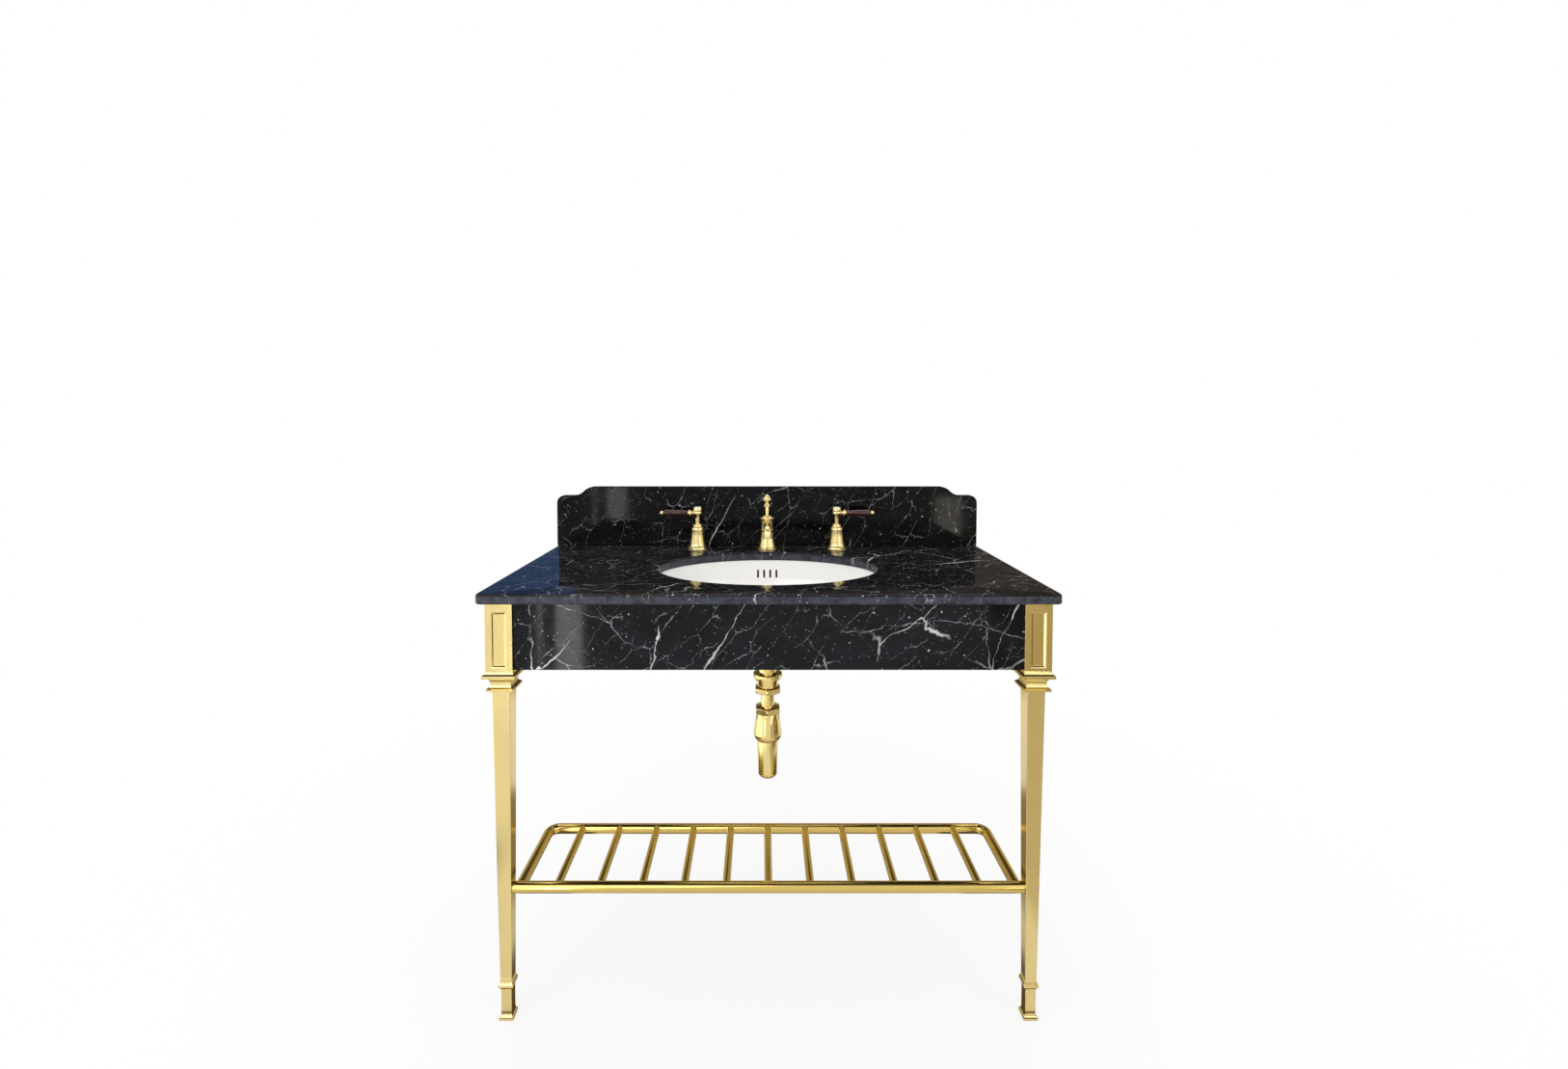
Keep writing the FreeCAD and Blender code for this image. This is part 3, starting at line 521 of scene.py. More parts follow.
class Tree:
    """Short ways to fill a node tree."""

    def __init__(self, tree: bpy.types.NodeTree) -> None:
        """Keep the tree that is filled."""
        self.tree = tree

    def join(self, source: Socket, target: Socket) -> None:
        """Join an output to an input."""
        self.tree.links.new(source, target)

    def add(self, kind: str, values: dict | None = None, **settings: object) -> Node:
        """Add a node.

        Args:
            kind: The node's type.
            values: Inputs by name or index, each set to a value or joined to an output.
            **settings: Properties of the node.

        Returns:
            The node.
        """
        node = self.tree.nodes.new(kind)
        for key, value in settings.items():
            setattr(node, key, value)
        for key, value in (values or {}).items():
            if isinstance(value, Socket):
                self.join(value, node.inputs[key])
            else:
                node.inputs[key].default_value = value
        return node

    def math(self, operation: str, first: object, second: object = 0.0) -> Socket:
        """Value of a sum, product or other operation."""
        return self.add("ShaderNodeMath", {0: first, 1: second}, operation=operation).outputs[0]

    def vector_math(self, operation: str, values: dict) -> Node:
        """Node that reckons with vectors."""
        return self.add("ShaderNodeVectorMath", values, operation=operation)

    def length(self, place: Socket) -> Socket:
        """Distance of a place from the origin."""
        return self.vector_math("LENGTH", {0: place}).outputs["Value"]

    def span(self, value: object, low: float, high: float, start: object = 0.0,
             end: float = 1.0) -> Socket:
        """Carry a value smoothly from one range to another.

        Args:
            value: The value.
            low: Where its range starts.
            high: Where its range ends.
            start: The result at the low end and below.
            end: The result at the high end and above.

        Returns:
            The result.
        """
        values = {"Value": value, "From Min": low, "From Max": high, "To Min": start, "To Max": end}
        node = self.add("ShaderNodeMapRange", values, interpolation_type="SMOOTHSTEP")
        return node.outputs["Result"]

    def mix(self, factor: object, first: object, second: object) -> Socket:
        """Colour between two colours.

        Args:
            factor: Share of the second.
            first: A socket or three numbers.
            second: A socket or three numbers.

        Returns:
            The colour.
        """
        shades = [(*shade, 1.0) if isinstance(shade, tuple) else shade for shade in (first, second)]
        values = {0: factor, 6: shades[0], 7: shades[1]}
        return self.add("ShaderNodeMix", values, data_type="RGBA").outputs[2]

    def noise(self, place: object, scale: object, detail: float = 3.0,
              roughness: float = 0.55) -> Node:
        """Noise texture."""
        values = {"Vector": place, "Scale": scale, "Detail": detail, "Roughness": roughness}
        return self.add("ShaderNodeTexNoise", values)

    def warped(self, place: Socket, scale: object, reach: object, detail: float) -> Socket:
        """Push coordinates about by noise.

        Args:
            place: The coordinates.
            scale: Scale of the noise.
            reach: How far it pushes.
            detail: Its detail.

        Returns:
            The pushed coordinates.
        """
        cloud = self.noise(place, scale, detail, 0.6).outputs["Color"]
        centred = self.vector_math("SUBTRACT", {0: cloud, 1: (0.5, 0.5, 0.5)}).outputs[0]
        push = self.vector_math("SCALE", {0: centred, "Scale": reach}).outputs[0]
        return self.vector_math("ADD", {0: place, 1: push}).outputs[0]

    def place(self, location: Sequence[float] = (0, 0, 0), turn: Sequence[float] = (0, 0, 0),
              scale: Sequence[float] = (1, 1, 1)) -> Socket:
        """Object coordinates, turned, then scaled along the turned axes and moved.

        Args:
            location: The move, in metres.
            turn: Turns about the axes, in degrees.
            scale: Factor along each turned axis.

        Returns:
            The coordinates.
        """
        source = self.add("ShaderNodeTexCoord").outputs["Object"]
        angles = [math.radians(angle) for angle in turn]
        turned = self.add("ShaderNodeMapping", {"Vector": source, "Rotation": angles}).outputs[0]
        values = {"Vector": turned, "Location": location, "Scale": scale}
        return self.add("ShaderNodeMapping", values).outputs[0]

    def group(self, group: bpy.types.NodeTree, **values: object) -> Node:
        """Place a shared shader group with its own values."""
        return self.add("ShaderNodeGroup", values, node_tree=group)

    def rays(self) -> tuple[Socket, Socket]:
        """Tell the kinds of ray apart.

        Returns:
            Masks of the camera's own rays, and of those with mirrored and clear ones.
        """
        path = self.add("ShaderNodeLightPath").outputs
        sharp = self.math("MAXIMUM", path["Is Glossy Ray"], path["Is Transmission Ray"])
        return path["Is Camera Ray"], self.math("MAXIMUM", path["Is Camera Ray"], sharp)


def new_material(name: str) -> tuple[bpy.types.Material, Tree]:
    """Material with the usual two nodes in its tree.

    Args:
        name: The material's name.

    Returns:
        The material and its tree.
    """
    made = bpy.data.materials.new(name)
    made.use_nodes = True
    return made, Tree(made.node_tree)


def toned(colour: Colour, factor: float, lift: float = 0.0) -> Colour:
    """Colour whose channels are multiplied and raised."""
    return tuple(channel * factor + lift for channel in colour)


def shared_group(name: str, inputs: dict[str, float | None], outputs: Sequence[str],
                 fill: Callable[[Tree, Node, Node], None]) -> bpy.types.NodeTree:
    """Shader group that is built once.

    Args:
        name: The group's name.
        inputs: Each input with its default, or None for a vector.
        outputs: Names of the values that it puts out.
        fill: Called with the tree and the group's input and output nodes.

    Returns:
        The group.
    """
    known = bpy.data.node_groups.get(name)
    if known:
        return known
    group = bpy.data.node_groups.new(name, "ShaderNodeTree")
    for key, value in inputs.items():
        kind = "NodeSocketVector" if value is None else "NodeSocketFloat"
        socket = group.interface.new_socket(name=key, in_out="INPUT", socket_type=kind)
        if value is not None:
            socket.default_value = value
    for key in outputs:
        group.interface.new_socket(name=key, in_out="OUTPUT", socket_type="NodeSocketFloat")
    tree = Tree(group)
    fill(tree, tree.add("NodeGroupInput"), tree.add("NodeGroupOutput"))
    return group


def fill_veins(tree: Tree, given: Node, result: Node) -> None:
    """Broken lines along the walls of warped cells in the turned XY plane.

    Args:
        tree: The group's nodes.
        given: The group's inputs.
        result: The group's outputs.
    """
    place, scale = given.outputs["Vector"], given.outputs["Scale"]
    reach = tree.math("DIVIDE", given.outputs["Warp"], scale)
    bent = tree.warped(place, tree.math("MULTIPLY", scale, 1.7), reach, 5.0)
    cells = tree.add("ShaderNodeTexVoronoi", {"Vector": bent, "Scale": scale},
                     voronoi_dimensions="2D", feature="DISTANCE_TO_EDGE")
    swell = tree.noise(place, tree.math("MULTIPLY", scale, 2.3), 3.0).outputs[0]
    width = tree.math("MULTIPLY", given.outputs["Width"], tree.span(swell, 0.35, 0.72, 0.15, 1.6))
    line = tree.math("SUBTRACT", 1.0, tree.math("DIVIDE", cells.outputs["Distance"], width))
    line = tree.math("MAXIMUM", line, 0.0)
    broken = tree.noise(bent, tree.math("MULTIPLY", scale, 0.9), 2.0).outputs[0]
    edge = tree.math("SUBTRACT", 1.0, given.outputs["Cover"])
    kept = tree.math("MULTIPLY", tree.math("SUBTRACT", broken, edge), 9.0)
    kept = tree.add("ShaderNodeClamp", {"Value": kept}).outputs[0]
    mask = tree.math("MULTIPLY", tree.math("POWER", line, 0.7), kept)
    tree.join(mask, result.inputs["Mask"])


def fill_flecks(tree: Tree, given: Node, result: Node) -> None:
    """Scattered chips, only in some of the cells.

    Args:
        tree: The group's nodes.
        given: The group's inputs.
        result: The group's outputs.
    """
    scale = given.outputs["Scale"]
    place = tree.warped(given.outputs["Vector"], tree.math("MULTIPLY", scale, 2.2),
                        tree.math("DIVIDE", 0.7, scale), 2.0)
    cells = tree.add("ShaderNodeTexVoronoi", {"Vector": place, "Scale": scale})
    split = tree.add("ShaderNodeSeparateColor", {"Color": cells.outputs["Color"]})
    chosen = tree.math("GREATER_THAN", given.outputs["Share"], split.outputs[0])
    size = tree.math("MULTIPLY", given.outputs["Size"], tree.span(split.outputs[1], 0, 1, 0.35, 1.4))
    spot = tree.math("SUBTRACT", 1.0, tree.math("DIVIDE", cells.outputs["Distance"], size))
    spot = tree.add("ShaderNodeClamp", {"Value": tree.math("MULTIPLY", spot, 2.5)}).outputs[0]
    tree.join(tree.math("MULTIPLY", spot, chosen), result.inputs["Mask"])


def fill_unevenness(tree: Tree, given: Node, result: Node) -> None:
    """Slow waves and fine rubbing marks of a hand-finished surface.

    Args:
        tree: The group's nodes.
        given: The group's inputs.
        result: The group's outputs.
    """
    place, scale = given.outputs["Vector"], given.outputs["Scale"]
    slow = tree.noise(place, scale, 2.0).outputs[0]
    fast = tree.noise(place, tree.math("MULTIPLY", scale, 9.0), 4.0, 0.65).outputs[0]
    fine = tree.math("MULTIPLY", fast, given.outputs["Fine"])
    tree.join(tree.math("ADD", slow, fine), result.inputs["Height"])
    tree.join(tree.span(fast, 0.3, 0.7), result.inputs["Mask"])


def vein_group() -> bpy.types.NodeTree:
    """Group of broken vein lines."""
    inputs = {"Vector": None, "Scale": 5.0, "Warp": 0.4, "Width": 0.02, "Cover": 0.5}
    return shared_group("vein_lines", inputs, ["Mask"], fill_veins)


def fleck_group() -> bpy.types.NodeTree:
    """Group of scattered chips."""
    inputs = {"Vector": None, "Scale": 60.0, "Size": 0.2, "Share": 0.2}
    return shared_group("flecks", inputs, ["Mask"], fill_flecks)


def unevenness_group() -> bpy.types.NodeTree:
    """Group of hand-finished unevenness."""
    inputs = {"Vector": None, "Scale": 20.0, "Fine": 0.1}
    return shared_group("unevenness", inputs, ["Height", "Mask"], fill_unevenness)


# Finishes

@dataclass(frozen=True)
class Finish:
    """A surface with a name, a plain colour, a roughness and its slot."""

    name: str
    colour: Colour
    roughness: float
    slot: Slot

    def material(self) -> bpy.types.Material:
        """The finish's surface for Blender, made at its first use.

        Returns:
            The material.
        """
        known = bpy.data.materials.get(self.name)
        if known:
            return known
        made, tree = new_material(self.name)
        made.diffuse_color = (*self.colour, 1.0)
        self.dress(tree, made.node_tree.nodes["Principled BSDF"])
        return made

    def dress(self, tree: Tree, shader: Node) -> None:
        """Fill the material's nodes.

        Args:
            tree: The material's tree.
            shader: Its principled shader.
        """
        mask = tree.group(unevenness_group(), Vector=tree.place(), Scale=40.0, Fine=0.4)
        self.vary(tree, shader, mask, tint=0.1, rough=0.06)
        self.relieve(tree, shader, mask.outputs["Height"], strength=0.06, depth=0.1)

    def vary(self, tree: Tree, shader: Node, mask: Node, tint: float, rough: float) -> None:
        """Let colour and roughness drift over the surface.

        Args:
            tree: The material's tree.
            shader: Its principled shader.
            mask: A placed unevenness group.
            tint: Share by which the colour darkens.
            rough: How much rougher the surface gets.
        """
        colour = tree.mix(mask.outputs["Height"], toned(self.colour, 1 - tint), self.colour)
        tree.join(colour, shader.inputs["Base Color"])
        self.roughen(tree, shader, mask.outputs["Mask"], rough)

    def roughen(self, tree: Tree, shader: Node, mask: Socket, rough: float) -> None:
        """Make the surface rougher by an amount where a mask is."""
        drift = tree.span(mask, 0.0, 1.0, self.roughness, self.roughness + rough)
        tree.join(drift, shader.inputs["Roughness"])

    @staticmethod
    def relieve(tree: Tree, shader: Node, height: Socket, strength: float, depth: float) -> None:
        """Give the surface relief, with its depth in millimetres."""
        values = {"Height": height, "Strength": strength, "Distance": depth * MM}
        tree.join(tree.add("ShaderNodeBump", values).outputs[0], shader.inputs["Normal"])


@dataclass(frozen=True)
class Veins:
    """A family of white lines in the stone."""

    scale: float
    width: float
    warp: float
    strength: float
    shade: Colour

    def mask(self, tree: Tree, place: Socket, cover: float) -> Socket:
        """Mask of the lines, which are there in a share of the stone."""
        return tree.group(vein_group(), Vector=place, Scale=self.scale, Warp=self.warp,
                          Width=self.width, Cover=cover).outputs[0]


@dataclass(frozen=True)
class Flecks:
    """A family of pale specks in the stone."""

    scale: float
    size: float
    share: float
    strength: float
    shade: Colour

    def mask(self, tree: Tree, place: Socket) -> Socket:
        """Mask of the specks."""
        return tree.group(fleck_group(), Vector=place, Scale=self.scale, Size=self.size,
                          Share=self.share).outputs[0]


BOLD_VEINS = Veins(scale=7.0, width=0.0115, warp=0.34, strength=1.0, shade=(0.78, 0.77, 0.77))
FINE_VEINS = Veins(scale=12.0, width=0.0105, warp=0.5, strength=0.8, shade=(0.44, 0.44, 0.47))
HAIR_VEINS = Veins(scale=27.0, width=0.018, warp=0.55, strength=0.75, shade=(0.3, 0.3, 0.32))
CHIPS = Flecks(scale=100.0, size=0.15, share=0.17, strength=0.9, shade=(0.55, 0.55, 0.57))
DUST = Flecks(scale=230.0, size=0.23, share=0.3, strength=0.7, shade=(0.2, 0.2, 0.21))
HONED_STONE: Colour = (0.052, 0.058, 0.078)


@dataclass(frozen=True)
class Marble(Finish):
    """Polished black marble with leaning white veins and chips."""

    offset: Triple = (0.0, 0.0, 0.0)
    lean: Triple = (-90.0, 0.0, -48.0)
    crossing: float = 75.0
    bold_cover: float = 0.5
    fine_cover: float = 0.55
    hair_cover: float = 0.56
    shine: float = 0.16
    honed_below: float = 0.0
    honed_fade: float = 1.5

    def dress(self, tree: Tree, shader: Node) -> None:
        """Fill the material's nodes.

        Args:
            tree: The material's tree.
            shader: Its principled shader.
        """
        across_turn = (*self.lean[:2], self.lean[2] + self.crossing)
        across = tree.place(self.offset, across_turn, (0.6, 1.0, 1.0))
        colour, bold = self.veined(tree, across)
        waves = tree.group(unevenness_group(), Vector=across, Scale=7.0, Fine=0.05)
        rough = tree.span(waves.outputs["Mask"], 0.0, 1.0, self.roughness, self.roughness + 0.04)
        rough = tree.math("ADD", rough, tree.math("MULTIPLY", bold, 0.08))
        if self.honed_below:
            honed = self.edge_mask(tree)
            cloud = tree.noise(across, 55.0, detail=5.0, roughness=0.7).outputs[0]
            bloom = tree.span(cloud, 0.34, 0.64, start=0.2, end=0.95)
            colour = tree.mix(tree.math("MULTIPLY", honed, bloom), colour, HONED_STONE)
            rough = tree.math("ADD", rough, tree.math("MULTIPLY", honed, 0.3))
        tree.join(colour, shader.inputs["Base Color"])
        tree.join(rough, shader.inputs["Roughness"])
        self.relieve(tree, shader, waves.outputs["Height"], strength=0.05, depth=0.4)
        shader.inputs["Specular IOR Level"].default_value = self.shine

    def veined(self, tree: Tree, across: Socket) -> tuple[Socket, Socket]:
        """Clouded ground with each family of flecks and veins laid over it.

        Args:
            tree: The material's tree.
            across: Coordinates that cross the lean.

        Returns:
            The colour, and the mask of the bold veins.
        """
        along = tree.place(self.offset, self.lean, (0.4, 1.0, 1.0))
        plain = tree.place(self.offset, self.lean, (0.8, 1.0, 1.0))
        bold = BOLD_VEINS.mask(tree, along, self.bold_cover)
        cloud = tree.noise(across, 16.0, detail=5.0, roughness=0.65).outputs[0]
        pale = toned(self.colour, 2.6, lift=0.002)
        colour = tree.mix(tree.span(cloud, 0.35, 0.75), self.colour, pale)
        for family, mask in ((DUST, DUST.mask(tree, across)),
                             (HAIR_VEINS, HAIR_VEINS.mask(tree, along, self.hair_cover)),
                             (FINE_VEINS, FINE_VEINS.mask(tree, across, self.fine_cover)),
                             (CHIPS, CHIPS.mask(tree, plain)), (BOLD_VEINS, bold)):
            colour = tree.mix(tree.math("MULTIPLY", mask, family.strength), colour, family.shade)
        return colour, bold

    def edge_mask(self, tree: Tree) -> Socket:
        """Mask of the honed edge under the polished face.

        Args:
            tree: The material's tree.

        Returns:
            The mask, which fades at the polished face.
        """
        height = tree.add("ShaderNodeSeparateXYZ", {"Vector": tree.place()}).outputs["Z"]
        start = self.honed_below - self.honed_fade * MM
        return tree.span(height, start, self.honed_below, start=1.0, end=0.0)


@dataclass(frozen=True)
class Brass(Finish):
    """Unlacquered brass, from mirror polish to a dull casting."""

    waves: float = 26.0
    relief: float = 0.35
    tint: float = 0.16
    grain: float = 0.0

    def dress(self, tree: Tree, shader: Node) -> None:
        """Fill the material's nodes.

        Args:
            tree: The material's tree.
            shader: Its principled shader.
        """
        shader.inputs["Metallic"].default_value = 1.0
        mask = tree.group(unevenness_group(), Vector=tree.place(), Scale=self.waves, Fine=self.grain)
        self.vary(tree, shader, mask, self.tint, rough=0.02)
        self.relieve(tree, shader, mask.outputs["Height"], self.relief, depth=1.0)


@dataclass(frozen=True)
class Steel(Finish):
    """Zinc-plated steel with a faint spangle."""

    def dress(self, tree: Tree, shader: Node) -> None:
        """Fill the material's nodes.

        Args:
            tree: The material's tree.
            shader: Its principled shader.
        """
        shader.inputs["Metallic"].default_value = 1.0
        place = tree.place()
        spangle = tree.add("ShaderNodeTexVoronoi", {"Vector": place, "Scale": 90.0})
        split = tree.add("ShaderNodeSeparateColor", {"Color": spangle.outputs["Color"]}).outputs[0]
        colour = tree.mix(split, toned(self.colour, 0.9), self.colour)
        tree.join(colour, shader.inputs["Base Color"])
        self.roughen(tree, shader, split, rough=0.07)
        grain = tree.noise(place, 300.0).outputs[0]
        self.relieve(tree, shader, grain, strength=0.1, depth=0.1)


@dataclass(frozen=True)
class Wood(Finish):
    """Lacquered dark hardwood whose grain runs along X."""

    def dress(self, tree: Tree, shader: Node) -> None:
        """Fill the material's nodes.

        Args:
            tree: The material's tree.
            shader: Its principled shader.
        """
        rings = tree.noise(tree.place(scale=(0.06, 1.0, 1.0)), 420.0, roughness=0.6).outputs[0]
        marks = tree.noise(tree.place(scale=(0.1, 1.0, 1.0)), 1500.0, detail=2.0).outputs[0]
        pores = tree.span(marks, 0.56, 0.7)
        colour = tree.mix(tree.span(rings, 0.35, 0.65), self.colour, toned(self.colour, 2.7))
        colour = tree.mix(tree.math("MULTIPLY", pores, 0.7), colour, toned(self.colour, 0.35))
        tree.join(colour, shader.inputs["Base Color"])
        self.roughen(tree, shader, pores, rough=0.2)
        self.relieve(tree, shader, rings, strength=0.12, depth=0.08)
        shader.inputs["Coat Weight"].default_value = 0.25
        shader.inputs["Coat Roughness"].default_value = 0.12


@dataclass(frozen=True)
class Glaze(Finish):
    """Glossy white glaze over ceramic."""

    def dress(self, tree: Tree, shader: Node) -> None:
        """Fill the material's nodes.

        Args:
            tree: The material's tree.
            shader: Its principled shader.
        """
        mask = tree.group(unevenness_group(), Vector=tree.place(), Scale=14.0, Fine=0.08)
        self.vary(tree, shader, mask, tint=0.03, rough=0.03)
        self.relieve(tree, shader, mask.outputs["Height"], strength=0.08, depth=0.6)
        shader.inputs["Coat Weight"].default_value = 0.5
        shader.inputs["Coat Roughness"].default_value = 0.04


BLACK: Colour = (0.0042, 0.0042, 0.0054)
GOLD: Colour = (0.85, 0.675, 0.295)
TOP_STONE = Marble("marble_top", BLACK, 0.05, Slot.MARBLE, offset=(0.31, 0.12, 0.0),
                   lean=(0.0, 0.0, -35.0), shine=0.24, honed_below=0.8765)
SPLASH_STONE = Marble("marble_splash", (0.002, 0.002, 0.0021), 0.05, Slot.MARBLE,
                      offset=(1.61, 0.4, 0.27), lean=(-90.0, 0.0, -58.0), bold_cover=0.44,
                      fine_cover=0.48, shine=0.09)
APRON_STONE = Marble("marble_apron", (0.0028, 0.0028, 0.0042), 0.05, Slot.MARBLE,
                     offset=(2.13, 0.0, 0.61), lean=(-90.0, 0.0, -50.0), bold_cover=0.58)
SIDE_STONE = Marble("marble_side", BLACK, 0.05, Slot.MARBLE, offset=(0.77, 1.9, 0.3),
                    lean=(-90.0, 90.0, -50.0), bold_cover=0.52)
HEAD_BRASS = Brass("brass_head", GOLD, 0.12, Slot.BRASS, waves=12.0, relief=0.06, tint=0.1)
LEG_BRASS = Brass("brass_leg", GOLD, 0.18, Slot.BRASS, waves=16.0, relief=0.24, tint=0.14)
TAP_BRASS = Brass("brass_tap", (0.88, 0.71, 0.33), 0.24, Slot.BRASS,
                  waves=60.0, relief=0.035, tint=0.1)
PIPE_BRASS = Brass("brass_pipe", (0.80, 0.635, 0.27), 0.13, Slot.BRASS,
                   waves=25.0, relief=0.03, tint=0.08)
# Painted shade: the rails and bars use the legs' brass, made darker and warmer for the shade they sit
# in.
SHADED_RAIL_BRASS = Brass("brass_rail_painted_shade", (0.74, 0.54, 0.16), 0.12, Slot.BRASS,
                   waves=30.0, relief=0.05, tint=0.16)
ROUGH_BRASS = Brass("brass_cast", (0.60, 0.46, 0.20), 0.38, Slot.BRASS,
                    waves=180.0, relief=0.3, tint=0.3, grain=0.1)
LEVER_WOOD = Wood("wood_grip", (0.022, 0.0048, 0.0034), 0.26, Slot.WOOD)
BASIN_GLAZE = Glaze("glaze_basin", (0.90, 0.89, 0.865), 0.08, Slot.CERAMIC)
CAP_GLAZE = Glaze("glaze_button", (0.88, 0.86, 0.79), 0.08, Slot.BUTTON)
# Painted shade: dark brown inside the overflow passage and slots, where shade falls.
PASSAGE_SHADE = Finish("passage_painted_shade", (0.21, 0.10, 0.05), 0.8, Slot.CERAMIC)
FRAME_STEEL = Steel("steel_zinc", (0.52, 0.53, 0.55), 0.32, Slot.STEEL)
SEAL_RUBBER = Finish("rubber_black", (0.022, 0.022, 0.022), 0.62, Slot.RUBBER)
GLIDE_PLASTIC = Finish("plastic_glide", (0.035, 0.035, 0.036), 0.5, Slot.PLASTIC)


def stand_for(piece: Piece, finish: Finish, body: str, *nodes: str) -> None:
    """Dress a piece and let it stand for its nodes.

    Args:
        piece: The finished object.
        finish: Its surface, with its slot.
        body: The body that it moves with.
        *nodes: The nodes that it replaces.
    """
    if not piece.data.materials:
        piece.data.materials.append(finish.material())
    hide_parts(*nodes)
    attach(piece, body)
    LOG.info("%s: %d faces, on %s", piece.name, len(piece.data.polygons), body)


def stand_in_copies(finish: Finish, body: str, *nodes: str) -> None:
    """Let a smooth copy stand for each of some nodes."""
    for node in nodes:
        stand_for(smooth_copy(node), finish, body, node)


# Geometry Nodes

class Recipe:
    """A Geometry Nodes tree with named inputs, used on one object and then turned to mesh."""

    def __init__(self, name: str, inputs: dict[str, tuple[str, object]]) -> None:
        """Make the tree and its sockets.

        Args:
            name: The tree's name.
            inputs: Each input's socket type and value.
        """
        self.group = bpy.data.node_groups.new(name, "GeometryNodeTree")
        for key, way in (("Geometry", "OUTPUT"), ("Path", "INPUT")):
            self.socket(key, way, "NodeSocketGeometry")
        self.values = {}
        for key, (kind, value) in inputs.items():
            self.values[self.socket(key, "INPUT", kind).identifier] = value
        self.tree = Tree(self.group)
        self.given = self.tree.add("NodeGroupInput").outputs
        self.result = self.tree.add("NodeGroupOutput")

    def socket(self, key: str, way: str, kind: str) -> bpy.types.NodeTreeInterfaceSocket:
        """Add an input or output to the tree."""
        return self.group.interface.new_socket(name=key, in_out=way, socket_type=kind)

    def finish(self, geometry: Socket) -> None:
        """End the tree in real faces that have their material.

        Args:
            geometry: What the tree has made.
        """
        real = self.tree.add("GeometryNodeRealizeInstances", {"Geometry": geometry}).outputs[0]
        values = {"Geometry": real, "Material": self.given["Finish"]}
        dressed = self.tree.add("GeometryNodeSetMaterial", values).outputs[0]
        self.tree.join(dressed, self.result.inputs[0])

    def apply(self, piece: Piece) -> Piece:
        """Run the tree on an object and keep the result as its plain mesh.

        Args:
            piece: The object whose shape goes into the tree.

        Returns:
            The finished mesh object.
        """
        change = piece.modifiers.new("recipe", "NODES")
        change.node_group = self.group
        for identifier, value in self.values.items():
            change[identifier] = value
        return settled(piece)


def path_object(name: str, points: Sequence[Sequence[float]]) -> Piece:
    """Curve object of straight runs.

    Args:
        name: Its name.
        points: Its points, in millimetres.

    Returns:
        The curve.
    """
    curve = bpy.data.curves.new(name, "CURVE")
    curve.dimensions = "3D"
    spline = curve.splines.new("POLY")
    spline.points.add(len(points) - 1)
    for target, point in zip(spline.points, points):
        target.co = (*(Vector(point) * MM), 1.0)
    return new_object(name, curve)


def round_bar(name: str, points: Sequence[Sequence[float]], radius: float,
              finish: Finish, sides: int = 64) -> Piece:
    """Round bar along a path.

    Args:
        name: The bar's name.
        points: The path, in millimetres.
        radius: The bar's radius, in millimetres.
        finish: Its surface.
        sides: Facets round it.

    Returns:
        The bar.
    """
    recipe = Recipe(f"{name}_recipe", {
        "Radius": ("NodeSocketFloat", radius * MM), "Sides": ("NodeSocketInt", sides),
        "Finish": ("NodeSocketMaterial", finish.material())})
    tree, given = recipe.tree, recipe.given
    section = {"Resolution": given["Sides"], "Radius": given["Radius"]}
    circle = tree.add("GeometryNodeCurvePrimitiveCircle", section).outputs[0]
    sweep = {"Curve": given["Path"], "Profile Curve": circle, "Fill Caps": True}
    recipe.finish(tree.add("GeometryNodeCurveToMesh", sweep).outputs[0])
    return recipe.apply(path_object(name, points))


def seed_piece(name: str) -> Piece:
    """Triangle for a recipe that needs no shape of its own."""
    return make_piece(name, [(0, 0, 0), (1, 0, 0), (0, 1, 0)], [[0, 1, 2]])


def bent_path(start: Vector, corner: Vector, end: Vector, radius: float) -> list[Vector]:
    """Two straight runs joined by a bend of a quarter turn.

    Args:
        start: Where the path starts.
        corner: Where the runs would meet.
        end: Where the path ends.
        radius: Radius of the bend.

    Returns:
        The points in order.
    """
    back = (start - corner).normalized()
    on = (end - corner).normalized()
    centre = corner + (back + on) * radius
    count = 14
    points = [start]
    for index in range(count + 1):
        turn = math.pi / 2 * index / count
        points.append(centre - on * radius * math.cos(turn) - back * radius * math.sin(turn))
    return points + [end]


# Stone

